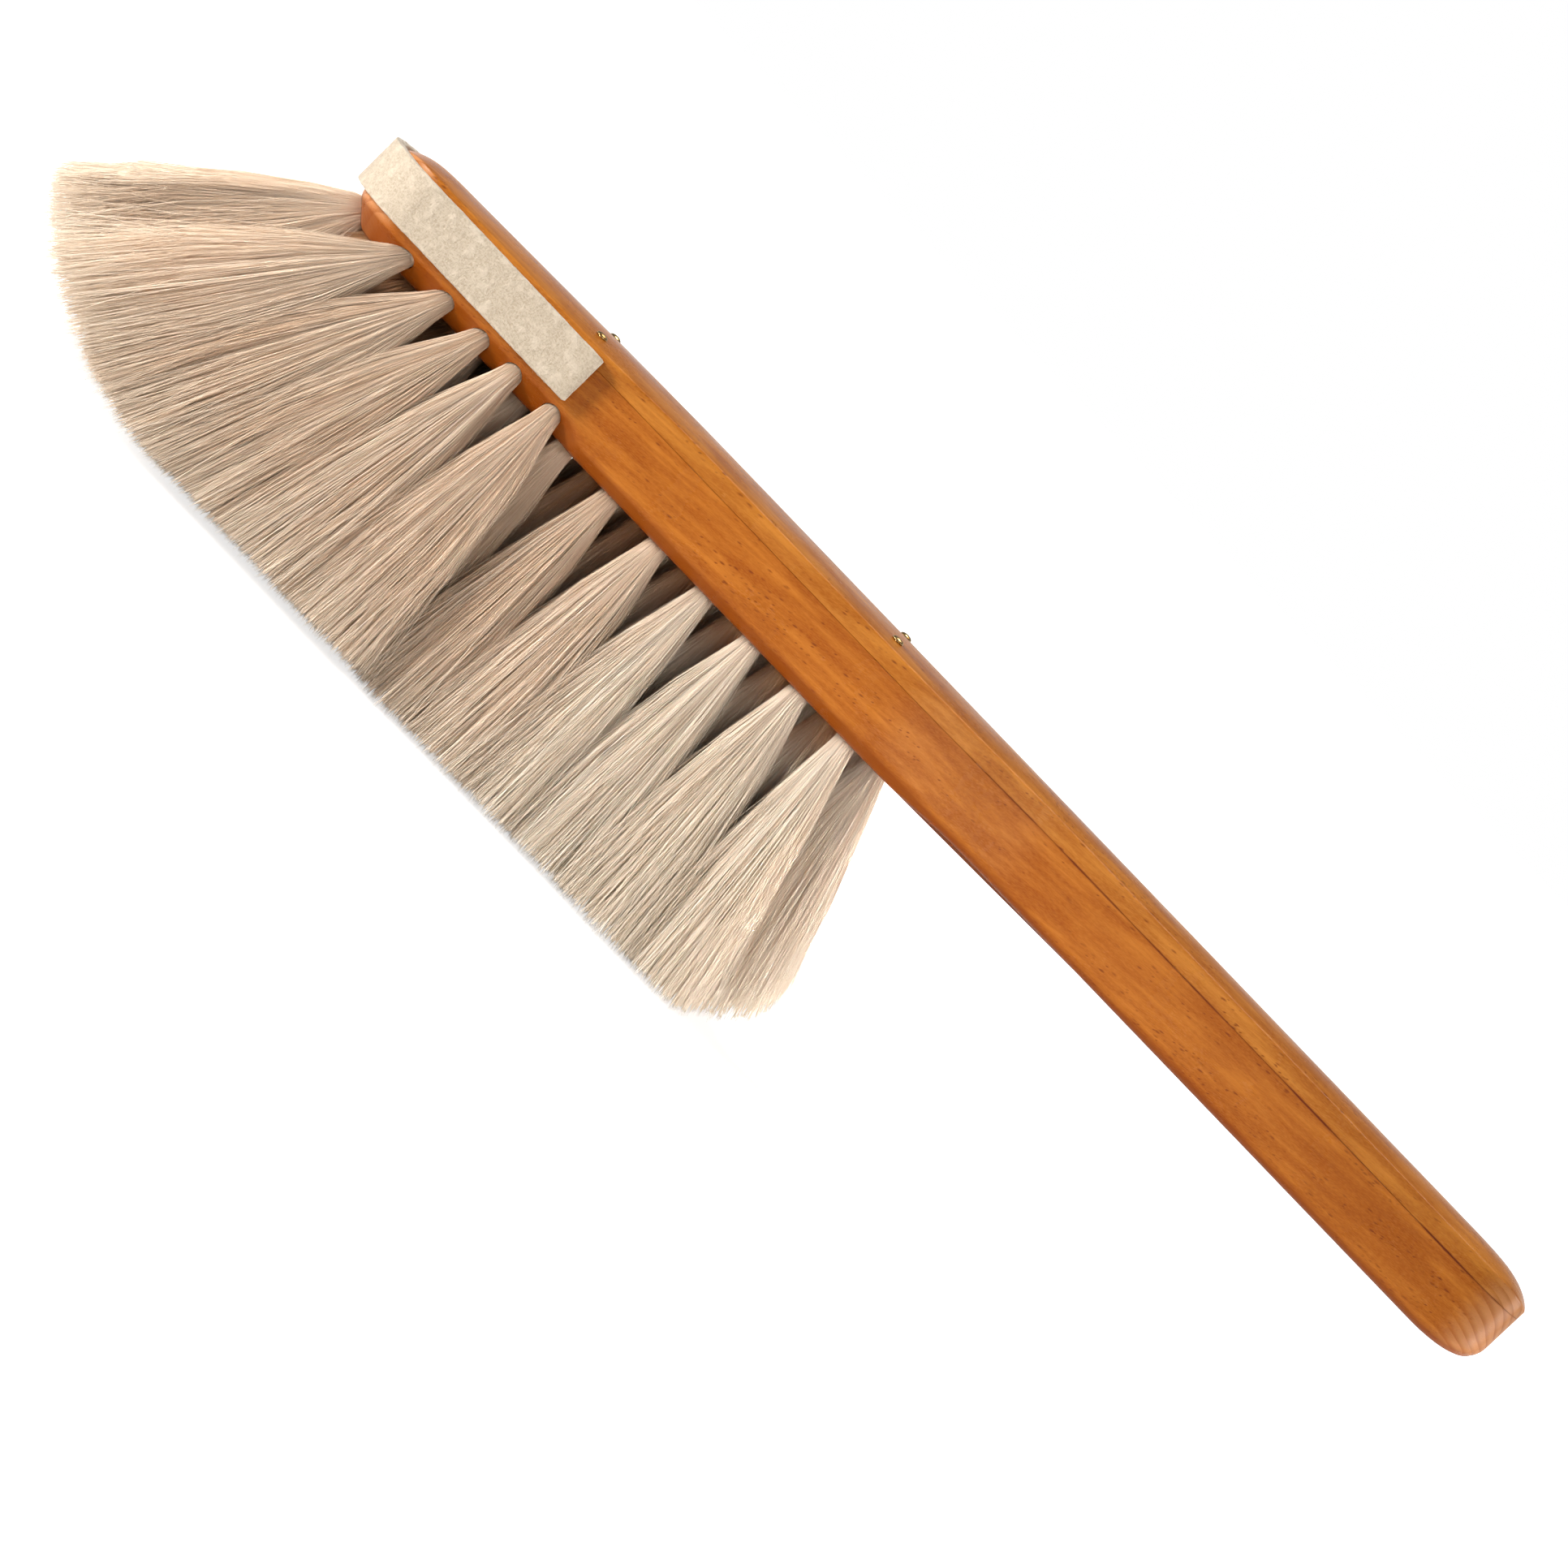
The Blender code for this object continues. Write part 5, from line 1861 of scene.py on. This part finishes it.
    def comb(self, tuft: TuftHole, rng: np.random.Generator) -> tuple[np.ndarray, ...]:
        """Lay the strands of one tuft.

        Args:
            tuft: The tuft.
            rng: Random source.

        Returns:
            Paths in stations, radii, tones and shares of the length.
        """
        by, count, locks = self.scatter, self.strand_counts[tuft.row], self.lock_count
        at_nose, levels = tuft.row is Row.NOSE, np.array(self.levels)
        shell = rng.random(count) < by.shell_share
        reach = np.where(shell, rng.uniform(by.shell_inner, 1.0, count), np.sqrt(rng.random(count)))
        turn = np.arange(count) * GOLDEN_ANGLE + rng.uniform(0, 2 * math.pi)
        disc = np.stack([reach * np.cos(turn), reach * np.sin(turn)], 1)
        disc += rng.normal(0, by.root, disc.shape)
        disc /= np.maximum(np.linalg.norm(disc, axis=1, keepdims=True), 1.0)
        lock = unit_turns(rng, locks) * (rng.random(locks) ** by.lock_bias)[:, None]
        nearest = np.argmin(((disc[:, None] - lock[None]) ** 2).sum(2), axis=1)
        fill = np.array([self.rim_fill if self.rim(tuft) else self.fill,
                         self.fan_width if at_nose else self.fill])
        fill = fill * rng.uniform(1 - by.tuft_width, 1 + by.tuft_width)
        square = self.to_square(disc)
        pull = by.lock_pull * (by.nose_lock_share if at_nose else 1.0)
        pull = pull * rng.uniform(by.least_pull, 1.0, (count, 1))
        square += (self.to_square(lock)[nearest] - square) * pull
        loose = np.where(rng.random((count, 1)) < by.loose_share, by.loose_drift, by.drift)
        drift = rng.normal(0, 1, square.shape) * loose
        square = square * fill + rng.normal(0, by.place, square.shape) + rng.normal(0, by.tuft_place, 2)
        power = self.flare(tuft, square[:, 0]) * np.exp(rng.normal(0, by.flare, count)
                                                        + rng.normal(0, by.tuft_flare))
        paths = self.paths(tuft, disc, square, levels, power, drift)
        run = np.clip(levels, 0, 1)[None, :, None]
        bow = rng.normal(0, by.wave, (count, 1, 3)) * np.array(by.wave_ways)
        beats = rng.uniform(*by.wave_beats, (count, 1, 1))
        paths = paths + bow * run * np.sin(rng.uniform(0, 2 * math.pi, (count, 1, 1)) + beats * run)
        short = np.abs(rng.normal(0, by.cut, count)) + rng.normal(0, by.lock_cut, locks)[nearest]
        short += np.where(rng.random(count) < by.short_share, rng.uniform(0.0, by.short_cut, count), 0.0)
        paths = self.shorten(paths, np.clip(short, *by.cut_limits))
        width = rng.uniform(1 - by.thickness, 1 + by.thickness, (count, 1)) * np.interp(
            levels, [0, 0.3, 1.0], self.widths)
        lock_tone = rng.normal(0.5, by.lock_tone, locks)[nearest]
        own_tone = rng.normal(0.5, by.nose_tone if at_nose else by.tone, count)
        # The tuft's painted light and shade is added to each strand's tone.
        tone = np.clip((lock_tone + own_tone) / 2 + self.fairness(tuft), 0, 1)
        # The last array places the painted root shade along each strand.
        return (paths, self.strand_radius * width, np.repeat(tone[:, None], len(levels), 1),
                np.repeat(self.root_shade_place(tuft, levels)[None], count, 0))

    def flare(self, tuft: TuftHole, along: np.ndarray) -> np.ndarray:
        """How early the strands of a tuft flare.

        Args:
            tuft: The tuft.
            along: Places along its cell, from -1 at the front to 1 at the back.

        Returns:
            One power for each strand.
        """
        if tuft.row is Row.NOSE:
            return np.interp(along, [-1, 0, 1], self.fan_flare_powers)
        if tuft.row is Row.CENTRE and tuft.mouth.x > self.heel_start:
            return np.interp(along, [-1, 1], [self.flare_power, self.heel_flare_power])
        hidden = tuft.side is not Side.LEFT and not tuft.on_bevel
        return np.full(len(along), self.hidden_flare_power if hidden else self.flare_power)

    def fairness(self, tuft: TuftHole) -> float:
        """Painted light and shade: how much lighter than the middle of the brush a tuft's hair is drawn, for
        how the light reaches each tuft along the brush.
        """
        return sum(ease(tuft.mouth.x, *step) for step in self.painted_light_steps)

    def root_shade_place(self, tuft: TuftHole, levels: np.ndarray) -> np.ndarray:
        """Where along its painted root shade each level counts: the painted shade climbs far up the middle
        row only, whose roots lie in shade between the outer tufts.

        Args:
            tuft: The tuft.
            levels: Shares of the way from the hole to the tips.

        Returns:
            Shares of the length, as the finish reads them.
        """
        run = np.clip(levels, 0, 1)
        if tuft.row is Row.CENTRE and tuft.mouth.x < self.deep_root_shade_end:
            return run * ease(tuft.mouth.x, *self.deep_root_shade)
        return self.shallow_root_shade + (1 - self.shallow_root_shade) * run

    @staticmethod
    def shorten(paths: np.ndarray, short: np.ndarray) -> np.ndarray:
        """Cut each strand back by a share of its whole length.

        Args:
            paths: Points of each strand.
            short: The share for each strand, below 0 where it grows.

        Returns:
            The points of the shortened strands.
        """
        last = np.linalg.norm(paths[:, -1] - paths[:, -2], axis=1)
        whole = np.linalg.norm(paths[:, -1] - paths[:, 0], axis=1)
        cut = paths.copy()
        cut[:, -1] += (paths[:, -2] - paths[:, -1]) * np.clip(short * whole / last, -0.2, 0.9)[:, None]
        return cut

    def stray(self, tuft: TuftHole, rng: np.random.Generator) -> tuple[np.ndarray, ...]:
        """Lay a tuft's loose strands.

        Args:
            tuft: The tuft.
            rng: Random source.

        Returns:
            Paths in stations, radii, tones and shares of the length.
        """
        by, count = self.loose, self.loose.count
        disc = unit_turns(rng, count) * by.root
        levels = np.linspace(self.levels[0], 1.0, by.points)
        square = self.to_square(disc) * rng.uniform(*by.spread, (count, 1))
        paths = self.paths(tuft, disc, square, levels, np.full(count, self.flare_power))
        run = np.clip(levels, 0, 1)[None] * rng.uniform(*by.reach, (count, 1))
        points = np.stack([[np.interp(run[i], levels, paths[i, :, axis]) for axis in range(3)]
                           for i in range(count)]).transpose(0, 2, 1)
        heading = rng.uniform(0, 2 * math.pi, count)
        across = np.stack([np.cos(heading), np.sin(heading), np.cos(heading * 2)], 1) * np.array(by.ways)
        size, beats = rng.uniform(*by.curl, (count, 1)), rng.uniform(*by.beats, (count, 1))
        phase = rng.uniform(-by.phase, by.phase, (count, 1))
        curl = size * run ** by.curl_growth * np.sin(beats * run + phase)
        shape = points.shape[:2]
        return (points + across[:, None] * curl[..., None], np.full(shape, by.radius),
                np.full(shape, by.tone), np.clip(run, by.root_shade_end, 1))

    def core(self, tuft: TuftHole, rng: np.random.Generator) -> bpy.types.Object:
        """Model the dense middle of a tuft: the folded root in its hole, and a ribbed flare inside the hair.

        Args:
            tuft: The tuft.
            rng: Random source.

        Returns:
            The core.
        """
        by, sides, levels = self.scatter, self.core_sides, np.array(self.core_levels)
        turn = 2 * math.pi * (np.arange(sides) + rng.uniform(-by.core_turn, by.core_turn, sides)) / sides
        disc = np.stack([np.cos(turn), np.sin(turn)], 1)
        square = self.to_square(disc) * self.core_fill * (1 + rng.normal(0, by.core_swell, (sides, 1)))
        power = self.flare(tuft, square[:, 0])
        middle = self.paths(tuft, disc * 0.0, disc * 0.0, levels, power)
        flare = self.paths(tuft, disc * self.core_root, square, levels, power)
        flare = middle + (flare - middle) * np.array(self.core_taper)[None, :, None]
        root = flare[:, :1] - np.array(tuft.axis) * (self.plan.hole_depth - self.root_gap)
        lines = np.concatenate([root, flare], 1).transpose(1, 0, 2)
        rings = [[to_model(*place) for place in line] for line in lines]
        core = Modeller.loft("core", rings)
        # The tuft's painted light and shade is added to the core's tone.
        tone = np.clip(rng.normal(self.core_tone, by.core_tone, sides) + self.fairness(tuft), 0, 1)
        places = np.array([vert.co for vert in core.data.vertices])
        modelled = np.array([tuple(place) for ring in rings for place in ring])
        nearest = np.argmin(((places[:, None] - modelled[None]) ** 2).sum(2), axis=1)
        # Shares of the length that place the painted root shade on the core.
        share = self.root_shade_place(tuft, np.concatenate([[0.0], levels])[nearest // sides])
        Modeller.mark(core.data, TONE, "POINT", tone[nearest % sides])
        Modeller.mark(core.data, LENGTH, "POINT", share)
        core.data.shade_smooth()
        return core

    def build_tuft(self, tuft: TuftHole, number: int) -> bpy.types.Object:
        """Model one tuft.

        Args:
            tuft: The tuft.
            number: Its number, which sets its random source.

        Returns:
            The tuft.
        """
        rng = np.random.default_rng(self.seed + number)
        layers = [self.comb(tuft, rng)]
        if tuft.side is not Side.MIDDLE and tuft.mouth.x < self.loose.last_station:
            layers.append(self.stray(tuft, rng))
        parts = []
        for paths, radii, tones, lengths in layers:
            paths[:, :, 2] = np.maximum(paths[:, :, 2], radii)
            paths[:, :, 0] -= ORIGIN_STATION
            parts.append(Strands.mesh(tuft.node.replace("tuft_", "hair_"), paths, radii, rng,
                                      {TONE: tones, LENGTH: lengths}))
        return Modeller.join([*parts, self.core(tuft, rng)])

    def build(self, finish: HairFinish) -> None:
        """Build and dress every tuft.

        Args:
            finish: Finish of the hair.
        """
        material = finish.build()
        for number, tuft in enumerate(self.plan.tufts):
            Modeller.finish(self.build_tuft(tuft, number), material, "hair", [tuft.node])


@dataclass
class DrawingWires:
    """The hidden wires that hold the tufts, which stay as they are in the frame."""

    prefix: str = "drawing_wire"

    def build(self, finish: MetalFinish) -> None:
        """Dress the wires.

        Args:
            finish: Finish of the wires.
        """
        material = finish.build()
        for name in sorted(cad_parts):
            if name.startswith(self.prefix):
                wire = bpy.data.objects[name]
                wire.data.materials.clear()
                wire.data.materials.append(material)
                log.info("%s: dressed", name)


@dataclass(frozen=True)
class Lamp:
    """One soft lamp; one with a narrow beam doesn't mirror in the wood."""

    name: str
    place: Point
    aim: Point
    size: tuple[float, float]
    power: float
    colour: Point = (1.0, 0.97, 0.93)
    beam: float = 180.0
    mirrored_beam: float = 90.0

    def build(self) -> None:
        """Add the lamp to the scene."""
        lamp = bpy.data.lights.new(self.name, "AREA")
        lamp.shape = "RECTANGLE"
        lamp.size, lamp.size_y = self.size
        lamp.energy = self.power
        lamp.color = self.colour
        lamp.spread = math.radians(self.beam)
        item = bpy.data.objects.new(self.name, lamp)
        item.visible_glossy = self.beam > self.mirrored_beam
        bpy.context.scene.collection.objects.link(item)
        item.location = self.place
        item.rotation_euler = (Vector(self.aim) - Vector(self.place)).to_track_quat("-Z", "Y").to_euler()


@dataclass
class Studio:
    """Floor, lamps, surroundings and camera."""

    yaw: float = math.radians(-1.40)
    elevation: float = math.radians(6.07)
    roll: float = math.radians(46.03)
    distance: float = 1.324
    focal_pixels: float = 7352.0
    image_pixels: int = 1932
    sensor_width: float = 36.0
    clip: tuple[float, float] = (0.05, 50.0)
    target: Point = (0.0069, 0.0, 0.0494)
    surround: float = 0.05
    wall: float = 0.78
    wall_top: float = 0.12
    front_wall: float = 0.15
    floor_size: float = 12.0
    floor_grey: Colour = (0.7, 0.7, 0.7, 1.0)
    floor_glow: float = 0.74
    glow_reach: tuple[float, float] = (0.22, 0.7)
    floor_bounce: float = 0.09
    lamps: tuple[Lamp, ...] = (
        Lamp("key_lamp", (-1.75, -0.80, 0.45), (0.0, 0.0, 0.05), (0.6, 0.6), 45.0, (1.0, 0.98, 0.95)),
        Lamp("fill_lamp", (0.60, -1.45, 0.95), (0.0, 0.0, 0.05), (1.2, 0.8), 4.8),
        Lamp("tail_lamp", (1.80, 0.05, 0.26), (0.0, 0.0, 0.04), (0.7, 0.5), 14.0),
        Lamp("top_lamp", (0.2, 0.45, 2.0), (0.0, 0.0, 0.08), (1.2, 0.8), 28.0),
        Lamp("heel_lamp", (0.45, -0.06, 0.03), (0.03, 0.0, 0.035), (0.06, 0.05), 0.030, beam=18.0),
        Lamp("rear_lamp", (0.16, -0.60, 0.06), (0.01, 0.0, 0.03), (0.2, 0.1), 0.028, beam=24.0),
        Lamp("nose_lamp", (-0.24, -0.60, 0.03), (-0.19, 0.0, 0.035), (0.1, 0.1), 0.015, (1.0, 1.0, 1.0),
             beam=20.0))

    def build_floor(self) -> None:
        """Add the plain pale floor."""
        Modeller.deselect()
        bpy.ops.mesh.primitive_plane_add(size=self.floor_size)
        floor = bpy.context.object
        floor.name = floor.data.name = "floor"
        material = bpy.data.materials.new("pale_floor")
        material.use_nodes = True
        graph = Graph(material.node_tree)
        seen_ray = graph.node("ShaderNodeLightPath").outputs["Is Camera Ray"]
        away = graph.node("ShaderNodeVectorMath", {0: graph.coordinates()}, operation="LENGTH")
        seen = graph.remap(away.outputs["Value"], *self.glow_reach, self.floor_glow, 1.0)
        glow = graph.node("ShaderNodeMix", {0: seen_ray, 2: self.floor_bounce, 3: seen}).outputs[0]
        graph.fill(material.node_tree.nodes["Principled BSDF"], Base_Color=self.floor_grey, Roughness=1.0,
                   Specular_IOR_Level=0.0, Emission_Color=WHITE, Emission_Strength=glow)
        floor.data.materials.append(material)

    def build_surroundings(self) -> None:
        """Light the scene softly from all round, and show plain white behind it."""
        world = bpy.data.worlds.new("soft_studio")
        world.use_nodes = True
        bpy.context.scene.world = world
        graph = Graph(world.node_tree)
        rays = graph.node("ShaderNodeLightPath").outputs
        way = graph.axes(graph.coordinates("Generated"))
        wall = graph.maths("MULTIPLY", graph.remap(way["Y"], -0.1, 0.6, self.front_wall, self.wall),
                           graph.remap(way["Z"], 0.12, 0.4, 1.0, self.wall_top))
        mirrored = graph.maths("MULTIPLY", rays["Is Glossy Ray"], wall)
        seen = graph.maths("MAXIMUM", rays["Is Camera Ray"], rays["Is Transmission Ray"])
        light = graph.maths("MAXIMUM", graph.maths("MAXIMUM", seen, mirrored), self.surround)
        graph.fill(world.node_tree.nodes["Background"], Color=WHITE, Strength=light)

    def build_camera(self) -> None:
        """Add the camera that looks at the brush as the photograph does."""
        look = Vector((math.sin(self.yaw) * math.cos(self.elevation),
                       math.cos(self.yaw) * math.cos(self.elevation), -math.sin(self.elevation)))
        level = Vector((math.cos(self.yaw), -math.sin(self.yaw), 0.0))
        upright = level.cross(look)
        right = level * math.cos(self.roll) + upright * math.sin(self.roll)
        top = upright * math.cos(self.roll) - level * math.sin(self.roll)
        data = bpy.data.cameras.new("photo_camera")
        data.sensor_width = self.sensor_width
        data.lens = self.focal_pixels / self.image_pixels * self.sensor_width
        data.clip_start, data.clip_end = self.clip
        camera = bpy.data.objects.new("photo_camera", data)
        bpy.context.scene.collection.objects.link(camera)
        turn = Matrix((right, top, -look)).transposed().to_4x4()
        camera.matrix_world = Matrix.Translation(Vector(self.target) - look * self.distance) @ turn
        bpy.context.scene.camera = camera

    def build(self) -> None:
        """Set up the whole studio."""
        self.build_floor()
        self.build_surroundings()
        for lamp in self.lamps:
            lamp.build()
        self.build_camera()
        bpy.context.scene.view_settings.view_transform = "Standard"
        log.info("studio: floor, surroundings, lamps and camera")


def main() -> None:
    """Build every piece in order."""
    logging.basicConfig(level=logging.INFO, format="%(name)s: %(message)s")
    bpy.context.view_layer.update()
    effects = Effects()
    plan = TuftPlan()
    plan.lay_out()
    Studio().build()
    boards = Boards(plan)
    boards.build(BeechFinish("oiled_beech", effects),
                 BeechFinish("oiled_beech_cover", effects, base=from_srgb(186, 108, 31),
                             deep=from_srgb(147, 75, 17), pale=from_srgb(210, 138, 56), pith_aside=-6 * MM,
                             pith_height=62 * MM, shift=(0.13, 0.02, 0.0)))
    Pins(boards).build(MetalFinish("brass", effects))
    FeltBand().build(FeltFinish("wool_felt", effects))
    HairTufts(plan).build(HairFinish("goat_hair", effects))
    DrawingWires().build(MetalFinish("drawn_steel", effects, bright=from_srgb(196, 194, 190),
                                     dull=from_srgb(132, 130, 128), roughness=0.3))


if __name__ == "__main__":
    main()
